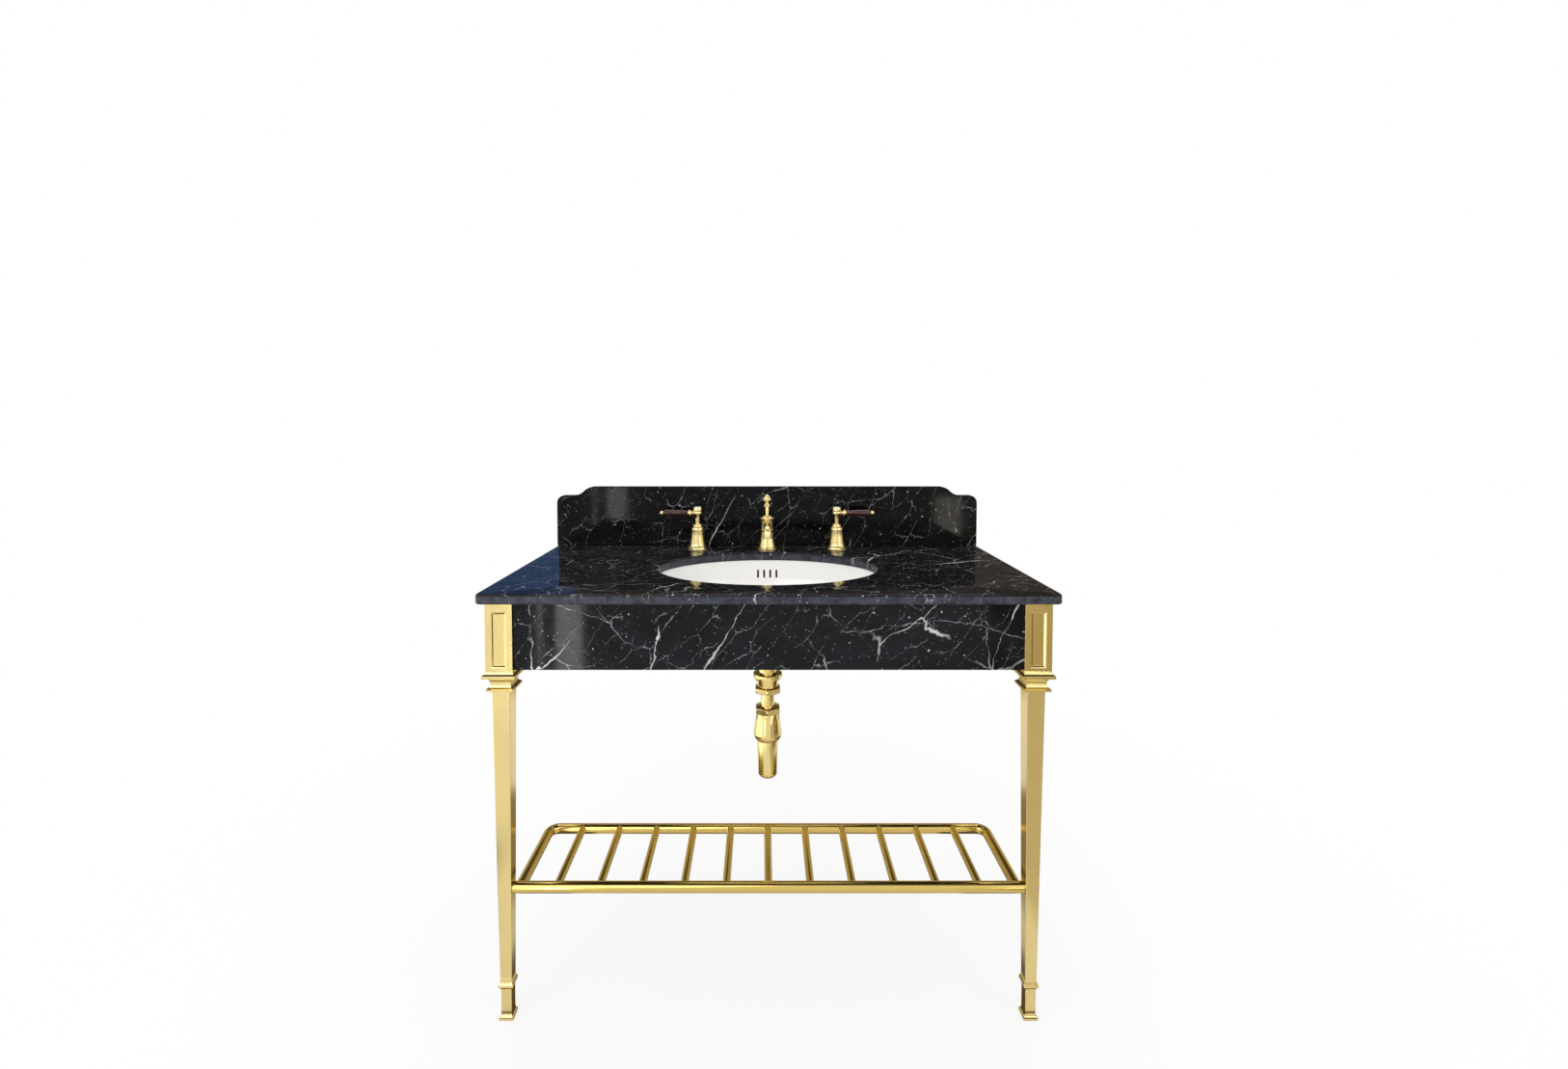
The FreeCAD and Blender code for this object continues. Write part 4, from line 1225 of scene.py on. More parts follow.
@dataclass
class Stonework:
    """Worktop, splashback and aprons, in millimetres."""

    corner: float = 12.0
    edge: float = 4.0
    half_a: float = 255.0
    half_b: float = 181.0
    reveal_edge: float = 2.2
    under_edge: float = 0.5
    tap_hole: float = 17.0
    apron_edge: float = 0.9
    upstand_edge: float = 1.4
    shoulder_drop: float = 24.0
    shoulder_radius: float = 20.0
    shoulder_end: float = 45.0
    ogee_end: float = 102.0
    side_runs: int = 34
    front_runs: int = 90
    corner_runs: int = 10

    def build(self) -> None:
        """Make every stone piece."""
        stand_for(self.worktop(), TOP_STONE, "console", "worktop")
        stand_for(self.splashback(), SPLASH_STONE, "console", "splashback")
        for node, finish in (("front_apron", APRON_STONE), ("side_apron_left", SIDE_STONE),
                             ("side_apron_right", SIDE_STONE)):
            stand_for(box_piece(f"{node}_panel", node, self.apron_edge), finish, "console", node)

    def slab_outline(self, inset: float, height: float) -> list[Vector]:
        """Ring round the slab, drawn in from its edge but for the wall side.

        Args:
            inset: How far it is drawn in, in millimetres.
            height: The ring's height.

        Returns:
            The points, from the right end of the wall side by way of the front.
        """
        low, high = box_of("worktop")
        radius = self.corner - inset
        right, left = high.x - inset, low.x + inset
        front = low.y + inset
        bend_y = front + radius
        runs = (((right, high.y), (right, bend_y), self.side_runs),
                ((right - radius, front), (left + radius, front), self.front_runs),
                ((left, bend_y), (left, high.y), self.side_runs))
        flat: list[Flat] = []
        for index, (start, end, count) in enumerate(runs):
            flat += [tuple(Vector(start).lerp(Vector(end), step / count)) for step in range(count + 1)]
            if index == len(runs) - 1:
                break
            bend_x = (right - radius, left + radius)[index]
            for step in range(1, self.corner_runs):
                turn = -math.pi / 2 * (step / self.corner_runs + index)
                flat.append((bend_x + radius * math.cos(turn), bend_y + radius * math.sin(turn)))
        for step in range(1, self.front_runs):
            flat.append((left + (right - left) * step / self.front_runs, high.y))
        return [Vector((x, y, height)) for x, y in flat]

    def opening(self, grow: float, height: float) -> list[Vector]:
        """Ring round the basin's opening, one point for each of the slab's outline.

        Args:
            grow: How far it lies outside the opening, in millimetres.
            height: The ring's height.

        Returns:
            The points, in the order of the outline's.
        """
        ring = []
        for point in self.slab_outline(0.0, height):
            turn = math.atan2((point.y - BASIN_Y) / self.half_b, point.x / self.half_a)
            ring.append(Vector(((self.half_a + grow) * math.cos(turn),
                                BASIN_Y + (self.half_b + grow) * math.sin(turn), height)))
        return ring

    def worktop(self) -> Piece:
        """Slab with rounded edges, the oval cut-out and the tap holes.

        Returns:
            The slab.
        """
        low, high = box_of("worktop")
        rounding = quarter_round(self.edge)
        rings = [self.opening(grow, high.z - drop) for grow, drop in quarter_round(self.reveal_edge)]
        rings += [self.slab_outline(inset, high.z - drop) for inset, drop in reversed(rounding)]
        rings += [self.slab_outline(inset, low.z + rise) for inset, rise in rounding]
        under = reversed(quarter_round(self.under_edge, 1))
        rings += [self.opening(grow, low.z + rise) for grow, rise in under]
        slab = make_piece("worktop_slab", *skin(rings, True))
        spare = 5
        foot, head = low.z - spare, high.z + spare
        steps = [(0, foot), (self.tap_hole, foot), (self.tap_hole, head), (0, head)]
        holes = [lathe("tap_hole", steps, (x, TAP_Y, 0), soft=0.0) for x in (-TAP_X, 0.0, TAP_X)]
        return carved(slab, holes)

    def splashback(self) -> Piece:
        """Upstand with rounded shoulders and an ogee, its front edge eased.

        Returns:
            The upstand.
        """
        low, high = box_of("splashback")
        end, foot, crown = high.x, low.z, high.z
        shoulder = crown - self.shoulder_drop
        run = (self.ogee_end - self.shoulder_end) / 2
        rise = self.shoulder_drop / 2
        sweep = (run * run + rise * rise) / (2 * rise)
        half_turn = math.asin(run / sweep) / 2
        side, sag = sweep * math.sin(half_turn), sweep * (1 - math.cos(half_turn))
        inner = end - self.shoulder_end
        fall = self.shoulder_radius * (1 - math.sqrt(0.5))
        steps = [(end, foot), (end, shoulder - self.shoulder_radius),
                 (end - fall, shoulder - fall, end - self.shoulder_radius, shoulder),
                 (inner, shoulder),
                 (inner - side, shoulder + sag, inner - run, shoulder + rise),
                 (end - self.ogee_end + side, crown - sag, end - self.ogee_end, crown)]
        half = outline(steps)
        loop = half + [(-x, z) for x, z in reversed(half)]
        rings = [[Vector((x, y, z)) for x, z in loop] for y in (low.y, high.y)]
        return eased(make_piece("splashback_panel", *closed_skin(rings)), self.upstand_edge)


# Legs

@dataclass
class Legs:
    """Two square legs with their glides, in millimetres."""

    inset: float = 42.0
    head_half: float = 27.0
    foot_half: float = 11.5
    shaft_top: float = 682.0
    capital_top: float = 724.0
    panel_half: float = 15.0
    panel_low: float = 730.0
    panel_high: float = 841.0
    panel_depth: float = 2.5
    bead_inset: float = 0.9
    bead_depth: float = 0.7
    field_inset: float = 1.5
    glide_hole: float = 9.0
    glide_depth: float = 5.0
    cast_edge: float = 0.6
    arris: float = 1.0

    def build(self) -> None:
        """Make both legs."""
        makers = {"head": (self.head, HEAD_BRASS), "shaft": (self.shaft, LEG_BRASS),
                  "foot": (self.foot, LEG_BRASS)}
        for side in Side:
            for part, (make, finish) in makers.items():
                node = f"leg_{part}_{side.word}"
                stand_for(make(f"{node}_casting", node, side), finish, "console", node)
        stand_in_copies(GLIDE_PLASTIC, "console", "floor_glides")

    def centre(self, side: Side) -> Vector:
        """Where a leg's axis meets the floor."""
        low, high = box_of("worktop")
        return Vector((side.value * (high.x - self.inset), low.y + self.inset, 0))

    @staticmethod
    def square_rings(steps: Sequence[Step], centre: Vector) -> list[list[Vector]]:
        """Square rings whose half-width and height follow a profile."""
        signs = ((1, -1), (1, 1), (-1, 1), (-1, -1))
        return [[centre + Vector((sx * half, sy * half, height)) for sx, sy in signs]
                for half, height in outline(steps)]

    def head(self, name: str, node: str, side: Side) -> Piece:
        """Head with sunk panels on its front and outer faces, over the capital.

        Args:
            name: The piece's name.
            node: The node whose height it takes.
            side: The end of the stand that it is at.

        Returns:
            The head.
        """
        top = box_of(node)[1].z
        steps = [(self.head_half, self.shaft_top), (self.head_half, self.shaft_top + 4),
                 (22.0, 690.0, 20.0, 697.0), (21.2, 702.5, 24.0, 707.0),
                 (27.5, 708.0, 33.0, 709.5), (33.0, 715.0),
                 (28.8, 718.4, self.head_half, self.capital_top), (self.head_half, top)]
        points, faces = closed_skin(self.square_rings(steps, self.centre(side)))
        low_ring, high_ring = len(points) - 8, len(points) - 4
        outer_wall = (0, 1) if side is Side.RIGHT else (2, 3)
        for first, second in ((3, 0), outer_wall):
            wall = [low_ring + first, low_ring + second, high_ring + second, high_ring + first]
            faces = [face for face in faces if set(face) != set(wall)]
            self.sink_panel(points, faces, wall)
        return eased(make_piece(name, points, faces), self.cast_edge)

    def sink_panel(self, points: list[Vector], faces: list[list[int]], wall: list[int]) -> None:
        """Fill a wall with a framed, sunk field.

        Args:
            points: The head's points, to which the panel's are added.
            faces: The head's faces, to which the panel's are added.
            wall: The wall's corners, from its lower left.
        """
        foot = (points[wall[0]] + points[wall[1]]) / 2
        across = (points[wall[1]] - points[wall[0]]).normalized()
        inward = UP.cross(across)
        slope = self.panel_depth
        rings = [wall]
        for inset, depth in ((0.0, 0.0), (self.bead_inset, self.bead_depth),
                             (self.field_inset, self.bead_depth),
                             (self.field_inset + slope, self.bead_depth + slope)):
            half = self.panel_half - inset
            low, high = self.panel_low + inset, self.panel_high - inset
            ring = []
            for shift, height in ((-half, low), (half, low), (half, high), (-half, high)):
                ring.append(len(points))
                points.append(Vector((foot.x, foot.y, height)) + across * shift + inward * depth)
            rings.append(ring)
        for outer, inner in zip(rings, rings[1:]):
            for index in range(4):
                following = (index + 1) % 4
                faces.append([outer[index], outer[following], inner[following], inner[index]])
        faces.append(rings[-1])

    def shaft(self, name: str, node: str, side: Side) -> Piece:
        """Tapered shaft with eased arrises.

        Args:
            name: The piece's name.
            node: The node whose box it takes.
            side: The end of the stand that it is at.

        Returns:
            The shaft.
        """
        low, high = box_of(node)
        steps = [(self.foot_half, low.z), ((high.x - low.x) / 2, high.z)]
        rings = self.square_rings(steps, self.centre(side))
        return eased(make_piece(name, *closed_skin(rings)), self.arris, 4)

    def foot(self, name: str, node: str, side: Side) -> Piece:
        """Ankle moulding, slender foot and splayed toe, with a recess for the glide.

        Args:
            name: The piece's name.
            node: The node whose height it takes.
            side: The end of the stand that it is at.

        Returns:
            The foot.
        """
        centre = self.centre(side)
        steps = [(14.5, 0.0), (14.5, 4.6), (11.6, 8.6, 10.5, 15.0), (10.5, 59.0),
                 (11.7, 65.2, 15.0, 69.0), (15.0, 72.0),
                 (12.4, 77.6, self.foot_half, box_of(node)[1].z)]
        points, faces = skin(self.square_rings(steps, centre), False)
        start = len(points)
        faces.append(list(range(start - 4, start)))
        quarter = 12
        sides = 4 * quarter
        recess = [level_ring(self.glide_hole, self.glide_hole, height, sides, centre.xy, -math.pi / 4)
                  for height in (0.0, self.glide_depth)]
        inner, inner_faces = skin(recess, False)
        points += inner
        faces += [[index + start for index in face] for face in inner_faces]
        faces.append([start + sides + index for index in range(sides)])
        for corner in range(4):
            arc = [start + (corner * quarter + step) % sides for step in range(quarter + 1)]
            faces.append([corner, (corner + 1) % 4] + arc[::-1])
        return eased(make_piece(name, points, faces), self.cast_edge)


# Basin

@dataclass
class Basin:
    """Undermount bowl, in millimetres."""

    rim: float = 858.5
    depth: float = 152.5
    half_a: float = 258.0
    half_b: float = 184.0
    lip: float = 1.2
    wall: float = 9.0
    flange: float = 25.0
    flange_thick: float = 12.0
    flange_edge: float = 2.0
    flat: float = 31.0
    hole: float = 22.0
    drain_drop: float = 3.0
    seat: float = 38.0
    seat_top: float = 8.0
    seat_drop: float = 30.0
    fullness: float = 2.6
    crowding: float = 1.25
    cover_half: float = 38.0
    cover_grow: float = 27.0
    cover_end: float = 0.854
    cover_lap: float = 1.0
    passage_half: float = 32.0
    passage_grow: float = 21.0
    passage_end: float = 0.8
    passage_drop: float = 4.0
    slot_low: float = 813.0
    slot_high: float = 834.0
    slot_width: float = 5.0
    slot_pitch: float = 16.0
    sides: int = 160
    inner_runs: int = 57
    outer_runs: int = 32

    def build(self) -> None:
        """Make the bowl and its seal and clips."""
        stand_for(self.bowl(), BASIN_GLAZE, "console", "basin_bowl")
        stand_in_copies(SEAL_RUBBER, "console", "basin_seal")
        stand_in_copies(FRAME_STEEL, "console", "basin_clips")

    def oval(self, half_a: float, half_b: float, height: float) -> list[Vector]:
        """Level ring round the bowl's axis."""
        return level_ring(half_a, half_b, height, self.sides, (0.0, BASIN_Y))

    def level(self, share: float, grow: float) -> Triple:
        """Size of the bowl's form at a share of the way down.

        Args:
            share: From 0 at the rim to 1 at the drain.
            grow: How far the form lies outside the hollow.

        Returns:
            The two half-axes and the height.
        """
        turn = math.pi / 2 * share
        drop = self.depth * math.sin(turn) ** (2 / self.fullness) + grow * math.sin(turn)
        reach = math.cos(turn)
        return (self.flat + (self.half_a - self.flat + grow) * reach,
                self.flat + (self.half_b - self.flat + grow) * reach, self.rim - drop)

    def shell_rings(self) -> list[list[Vector]]:
        """Rings of the shell, from the drain up the hollow and back under the wall.

        Returns:
            The rings in order, the last of which joins the first.
        """
        bottom = self.rim - self.depth
        under = self.rim - self.flange_thick
        rings = [self.oval(radius, radius, bottom - self.drain_drop)
                 for radius in (self.hole, self.flat)]
        for index in range(self.inner_runs, 0, -1):
            rings.append(self.oval(*self.level((index / self.inner_runs) ** self.crowding, 0.0)))
        for grow, drop in quarter_round(self.lip, 2):
            rings.append(self.oval(self.half_a + grow, self.half_b + grow, self.rim - drop))
        inner = self.flange - self.flange_edge
        for reach, height in ((inner, self.rim), (self.flange, self.rim - self.flange_edge),
                              (self.flange, under + self.flange_edge), (inner, under)):
            rings.append(self.oval(self.half_a + reach, self.half_b + reach, height))
        for index in range(self.outer_runs + 1):
            half_a, half_b, height = self.level((index / self.outer_runs) ** self.crowding, self.wall)
            if height < under and half_a > self.seat + 1:
                rings.append(self.oval(half_a, half_b, height))
        base = bottom - self.seat_drop
        for radius, height in ((self.seat, bottom - self.seat_top), (self.seat, base),
                               (self.hole, base)):
            rings.append(self.oval(radius, radius, height))
        return rings

    def bowl(self) -> Piece:
        """Closed shell with its flange, drain seat, overflow cover and slots.

        Returns:
            The bowl, with its hollows in a material of their own: painted shade.
        """
        bowl = make_piece("basin_bowl_shell", *skin(self.shell_rings(), True))
        bowl.data.materials.append(BASIN_GLAZE.material())
        under = self.rim - self.flange_thick
        cover = self.back_band("overflow_cover", (self.wall / 2, self.cover_grow), self.cover_half,
                               under + self.cover_lap, self.cover_end)
        passage = self.back_band("overflow_passage", (self.wall + 1, self.passage_grow),
                                 self.passage_half, under - self.passage_drop,
                                 self.passage_end)
        carved(bowl, [cover], "UNION")
        cutters = [passage, *self.slots()]
        # The cutters leave painted shade, dark brown, on the faces inside the passage and slots.
        for cutter in cutters:
            cutter.data.materials.append(PASSAGE_SHADE.material())
        return carved(bowl, cutters)

    def descent(self, grow: float, top: float, end: float) -> list[Triple]:
        """Levels of a grown form.

        Args:
            grow: How far the form lies outside the hollow.
            top: Height at which they start.
            end: Share of the way to the drain at which they end.

        Returns:
            The levels, from the top down.
        """
        halvings, runs = 40, 24
        low, high = 0.0, 1.0
        for _ in range(halvings):
            middle = (low + high) / 2
            low, high = (middle, high) if self.level(middle, grow)[2] > top else (low, middle)
        return [self.level(low + (end - low) * step / runs, grow) for step in range(runs + 1)]

    def back_band(self, name: str, grows: tuple[float, float], half: float, top: float,
                  end: float) -> Piece:
        """Solid between two grown forms, along the middle of the back wall.

        Args:
            name: The solid's name.
            grows: How far its front and its back lie outside the bowl's hollow.
            half: Half its width.
            top: Height at which it starts.
            end: Share of the way to the drain at which it ends.

        Returns:
            The solid.
        """
        runs = 12
        rings = []
        for inner, outer in zip(self.descent(grows[0], top, end), self.descent(grows[1], top, end)):
            ring = []
            for (half_a, half_b, height), way in ((outer, 1), (inner, -1)):
                for step in range(runs + 1):
                    x = way * half * (2 * step / runs - 1)
                    y = BASIN_Y + half_b * math.sqrt(max(0.0, 1 - (x / half_a) ** 2))
                    ring.append(Vector((x, y, height)))
            rings.append(ring)
        return make_piece(name, *closed_skin(rings))

    def slots(self) -> list[Piece]:
        """Cutters of the overflow's round-ended slots.

        Returns:
            One cutter for each slot.
        """
        count, runs, inside, outside = 4, 8, 50, 14
        half = self.slot_width / 2
        back = BASIN_Y + self.half_b
        ends = ((self.slot_high - half, 0.0), (self.slot_low + half, math.pi))
        cutters = []
        for index in range(count):
            middle = (index - (count - 1) / 2) * self.slot_pitch
            loop = []
            for height, start in ends:
                turns = [start + math.pi * step / runs for step in range(runs + 1)]
                loop += [(middle + half * math.cos(t), height + half * math.sin(t)) for t in turns]
            rings = [[Vector((x, y, z)) for x, z in loop] for y in (back - inside, back + outside)]
            cutters.append(make_piece("overflow_slot", *closed_skin(rings)))
        return cutters


# Nuts

def hexagon_reach(turn: float, flats: float) -> float:
    """Distance from a hexagon's middle to its edge at a turn."""
    sector = math.pi / 3
    return flats / 2 / math.cos((turn % sector) - sector / 2)


def polished_nut(name: str, flats: float, height: float, bore: float, centre: Sequence[float],
                 axis: Vector = UP) -> Piece:
    """Hexagon nut with turned-down corners.

    Args:
        name: The nut's name.
        flats: Width across its flats, in millimetres.
        height: Its height.
        bore: Radius of its hole.
        centre: The middle of its lower face.
        axis: The way that its height counts.

    Returns:
        The nut.
    """
    sides, runs, margin, steepness = 120, 4, 0.3, 0.6
    corner = flats / math.sqrt(3)
    rise = (corner - flats / 2) * steepness
    levels = [(rise * step / runs, step / runs) for step in range(runs + 1)]
    levels += [(height - level, share) for level, share in reversed(levels)]
    rings = []
    for level, share in levels:
        smallest = flats / 2 - margin
        barrel = smallest + (corner - smallest) * math.sin(share * math.pi / 2)
        ring = []
        for index in range(sides):
            angle = math.tau * index / sides
            reach = min(hexagon_reach(angle + math.pi / 6, flats), barrel)
            ring.append(Vector((reach * math.cos(angle), reach * math.sin(angle), level)))
        rings.append(ring)
    rings += [level_ring(bore, bore, level, sides) for level in (height, 0.0)]
    return make_piece(name, *skin(set_up(rings, centre, axis), True))


# Waste and trap

@dataclass
class Trap:
    """Everything from the drain to the wall, in millimetres."""

    outlet_z: float = 513.0
    pipe: float = 16.0
    bore: float = 14.6
    fit: float = 16.05
    boss: float = 45.0
    wall_y: float = 280.0

    def build(self) -> None:
        """Make the waste, the trap and the outlet."""
        upright = {
            "waste_coupling": [(self.fit, 600), (25, 600), (25, 619), (33.5, 620.5), (33.5, 630),
                               (self.fit, 630)],
            "inlet_pipe": [(self.bore, 425), (self.pipe, 425), (self.pipe, 642), (self.bore, 642)],
            "trap_cup": [(0, 383), (15, 384.5), (20.4, 388.4, 22.5, 397), (24.5, 472), (21.4, 472),
                         (21.4, 478), (18.6, 478), (19.4, 398), (14, 388), (0, 387)]}
        for node, steps in upright.items():
            piece = lathe(f"{node}_turned", steps, (0, BASIN_Y, 0), soft=0.6)
            stand_for(piece, PIPE_BRASS, "console", node)
        stand_for(self.body(), PIPE_BRASS, "console", "trap_body")
        for node, flats, height, centre, axis in (
                ("coupling_nut", 57, 12, (0, BASIN_Y, 586), UP),
                ("trap_nut", 55, 14, (0, BASIN_Y, 537), UP),
                ("outlet_nut", 46, 14, (0, BASIN_Y + self.boss, self.outlet_z), BACKWARD)):
            nut = polished_nut(f"{node}_hex", flats, height, self.fit, centre, axis)
            stand_for(nut, PIPE_BRASS, "console", node)
        self.outlet()
        self.waste()

    def body(self) -> Piece:
        """Bell-shaped body with its outlet boss.

        Returns:
            The body.
        """
        steps = [(self.fit, 537), (25, 537), (30.2, 514, 33, 489), (31.6, 479.5, 24.5, 472),
                 (21.5, 472), (21.5, 479), (29.5, 488), (22, 533.5), (self.fit, 533.5)]
        bell = lathe("trap_bell", steps, (0, BASIN_Y, 0), soft=0.8)
        steps = [(self.fit, 26), (18.6, 26), (20, 29), (20, 44), (19, self.boss),
                 (self.fit, self.boss)]
        boss = lathe("trap_boss", steps, (0, BASIN_Y, self.outlet_z), BACKWARD)
        return combined("trap_body_turned", [bell, boss])

    def outlet(self) -> None:
        """Make the pipe to the wall and its cover plate."""
        length = self.wall_y - BASIN_Y
        level = {
            "outlet_pipe": (BASIN_Y, [(self.bore, 27), (self.pipe, 27), (self.pipe, length),
                                      (self.bore, length)]),
            "wall_flange": (self.wall_y, [(self.fit, -18), (18.5, -18), (23, -7, 34, -2.5),
                                          (34, 0), (31, 0), (self.fit, -12)])}
        for node, (start_y, steps) in level.items():
            piece = lathe(f"{node}_turned", steps, (0, start_y, self.outlet_z), BACKWARD)
            stand_for(piece, PIPE_BRASS, "console", node)

    @staticmethod
    def waste() -> None:
        """Dress the drain and what lies under it."""
        stand_in_copies(PIPE_BRASS, "console", "waste_body")
        stand_in_copies(ROUGH_BRASS, "console", "waste_nut")
        stand_in_copies(PIPE_BRASS, "console", "pivot_nut")
        stand_in_copies(SEAL_RUBBER, "console", "waste_gasket")


# Taps and pop-up

@dataclass
class TapSet:
    """Two lever taps, the spout and the pop-up linkage, in millimetres."""

    inlet_z: float = 805.0
    lever_height: float = 95.5
    lever_reach: float = 102.0
    neck: float = 91.2
    ball: float = 6.35
    arm_height: float = 66.0
    arm_radius: float = 10.5
    arm_length: float = 92.0
    arm_root: float = 12.0
    nozzle_lap: float = 5.0
    arm_bend: float = 15.0
    mouth: float = 45.0

    def build(self) -> None:
        """Make every tap piece."""
        for name, x in (("hot", -TAP_X), ("cold", TAP_X)):
            self.lever_tap(name, x)
        self.spout()
        self.linkage()
        stand_in_copies(ROUGH_BRASS, "console", "tap_nuts", "mixing_pipes")

    def lever_tap(self, name: str, x: float) -> None:
        """Make one valve with its bell, hub, lever and button.

        Args:
            name: The word that its nodes start with.
            x: Its place along X.
        """
        foot = (x, TAP_Y, TOP_HEIGHT)
        bell = lathe(f"{name}_base_bell", [
            (29.2, 0), (29.2, 2), (23.6, 7.5, 20.6, 18), (17.9, 32, 16.9, 48), (16.4, 56, 13, 60.5),
            (13, 65), (11.6, 66.5), (6.05, 66.5), (6.05, 58), (13, 56), (15, 36), (24, 0)], foot)
        stand_for(bell, TAP_BRASS, "console", f"{name}_base")
        self.valve(name, x)
        body = f"{name}_lever"
        hub = lathe("hub", [
            (3.55, 37), (6, 37), (6, 79), (6.6, 85, 8, 89), (10.6, 90.8), (12.6, 95.5, 11.2, 100.2),
            (12.2, 101.4), (12.2, 108.8), (11.2, 111), (9.5, 111), (9.5, 108.5), (0, 108.5), (0, 47),
            (3.55, 47)], foot)
        outward = RIGHT * math.copysign(1, x)
        centre = (x, TAP_Y, TOP_HEIGHT + self.lever_height)
        arm = lathe("arm", [(0, 8), (4.6, 8), (4.6, 15.5), (8.3, 20.6, 5.6, 26.5), (3, 26.5),
                            (3, 59), (0, 59)], centre, outward)
        stand_for(combined(f"{name}_hub_turned", [hub, arm]), TAP_BRASS, body,
                  f"{name}_hub")
        grip = lathe(f"{name}_grip_turned", [
            (3.05, 26.5), (6.5, 26.5), (8.4, 55, 9.1, 83), (8.3, 89, 5.5, self.neck),
            (2.55, self.neck), (2.55, 60), (3.05, 60)], centre, outward)
        stand_for(grip, LEVER_WOOD, body, f"{name}_grip")
        middle = self.lever_reach - self.ball
        waist = math.sqrt(self.ball ** 2 - (middle - self.neck) ** 2)
        ball = lathe(f"{name}_ball_turned", [
            (0, 62), (2.5, 62), (2.5, self.neck), (waist, self.neck),
            (self.ball, middle, 0, self.lever_reach)], centre, outward, 0.15)
        stand_for(ball, TAP_BRASS, body, f"{name}_ball")
        cap = lathe(f"{name}_cap_button", [(0, 108.5), (9.5, 108.5), (9.5, 111), (4.8, 112.2, 0, 112.6)],
                    foot, soft=0.5)
        stand_for(cap, CAP_GLAZE, body, f"{name}_cap")

    def valve(self, name: str, x: float) -> None:
        """Make a valve with threads on its inlet tail and shank.

        Args:
            name: The word that its node starts with.
            x: Its place along X.
        """
        steps = [(7.5, 755), *threaded(10.48, 755, 788), (10.48, 792), (16, 792), (16, 828),
                 *threaded(13.5, 828, 860), (13.5, 900), (11, 915), (3.5, 915), (3.5, 926), (0, 926),
                 (0, 785), (7.5, 785)]
        body = lathe("valve", steps, (x, TAP_Y, 0), soft=0.2)
        inward = RIGHT * -math.copysign(1, x)
        port = lathe("port", [(0, 0), (9, 0), (9, 22), (0, 22)], (x, TAP_Y, self.inlet_z), inward)
        stand_for(combined(f"{name}_valve_body", [body, port]), ROUGH_BRASS, "console",
                  f"{name}_valve")

    def spout(self) -> None:
        """Make the column, the arm with its nozzle, and the aerator."""
        foot = (0, TAP_Y, TOP_HEIGHT)
        column = lathe("column", [
            (28.5, 0), (28.5, 3), (24.2, 5.8, 22.4, 11), (19.6, 22, 18, 36), (16.6, 46.5),
            (18.2, 50.5, 16.6, 54.5), (16.6, 77), (21, 81.6), (20.4, 84), (14.8, 86, 12.5, 89),
            (5.05, 89), (5.05, -85), *threaded(13.5, -85, -20), (13.5, 0)], foot)
        steps = [(5.2, 0), (9, 0), (9, 22), (5.2, 22)]
        tees = [lathe("tee", steps, (0, TAP_Y, self.inlet_z), RIGHT * way) for way in (-1, 1)]
        stand_for(combined("spout_column_turned", [column, *tees]), TAP_BRASS, "console",
                  "spout_column")
        level = TOP_HEIGHT + self.arm_height
        drop_y = TAP_Y - self.arm_length - self.arm_bend
        mouth = TOP_HEIGHT + self.mouth
        path = bent_path(Vector((0, TAP_Y - self.arm_root, level)), Vector((0, drop_y, level)),
                         Vector((0, drop_y, mouth + self.nozzle_lap)), self.arm_bend)
        arm = round_bar("arm_bar", path, self.arm_radius, TAP_BRASS, ROUND_SIDES)
        nozzle = lathe("nozzle", [(9.5, 0), (12, 0), (12, 4.5), (10.4, 6), (9.5, 5)],
                       (0, drop_y, mouth))
        stand_for(combined("spout_arm_bent", [arm, nozzle]), TAP_BRASS, "console",
                  "spout_arm")
        stand_for(self.aerator(drop_y, mouth), PIPE_BRASS, "console", "aerator")

    @staticmethod
    def aerator(centre_y: float, mouth: float) -> Piece:
        """Insert with a honeycomb of little tubes.

        Args:
            centre_y: Its place along Y.
            mouth: Height of the nozzle's mouth.

        Returns:
            The insert.
        """
        lift, half = 2.6, 1.2 * MM
        recipe = Recipe("honeycomb", {
            "Count": ("NodeSocketInt", 9), "Size": ("NodeSocketFloat", 15 * MM),
            "Reach": ("NodeSocketFloat", 7.2 * MM), "Tube": ("NodeSocketFloat", 0.75 * MM),
            "Centre": ("NodeSocketVector", Vector((0, centre_y, mouth + lift)) * MM),
            "Finish": ("NodeSocketMaterial", PIPE_BRASS.material())})
        tree, given = recipe.tree, recipe.given
        grid = tree.add("GeometryNodeMeshGrid", {
            "Size X": given["Size"], "Size Y": given["Size"],
            "Vertices X": given["Count"], "Vertices Y": given["Count"]}).outputs[0]
        far = tree.length(tree.add("GeometryNodeInputPosition").outputs[0])
        outside = tree.add("FunctionNodeCompare", {0: far, 1: given["Reach"]},
                           operation="GREATER_THAN").outputs[0]
        kept = tree.add("GeometryNodeDeleteGeometry", {"Geometry": grid, "Selection": outside},
                        domain="POINT").outputs[0]
        ring = tree.add("GeometryNodeCurvePrimitiveCircle", {
            "Resolution": 8, "Radius": given["Tube"]}).outputs[0]
        line = tree.add("GeometryNodeCurvePrimitiveLine", {
            "Start": (0, 0, -half), "End": (0, 0, half)}).outputs[0]
        tube = tree.add("GeometryNodeCurveToMesh", {
            "Curve": line, "Profile Curve": ring, "Fill Caps": True}).outputs[0]
        tubes = tree.add("GeometryNodeInstanceOnPoints", {
            "Points": kept, "Instance": tube}).outputs[0]
        recipe.finish(tree.add("GeometryNodeTransform", {
            "Geometry": tubes, "Translation": given["Centre"]}).outputs[0])
        pins = recipe.apply(seed_piece("pins"))
        steps = [(0, 4.2), (9.4, 4.2), (9.4, 0.5), (7.5, 0.5), (7.5, 3.2), (0, 3.2)]
        shell = lathe("shell", steps, (0, centre_y, mouth), soft=0.2)
        return combined("aerator_insert", [pins, shell])

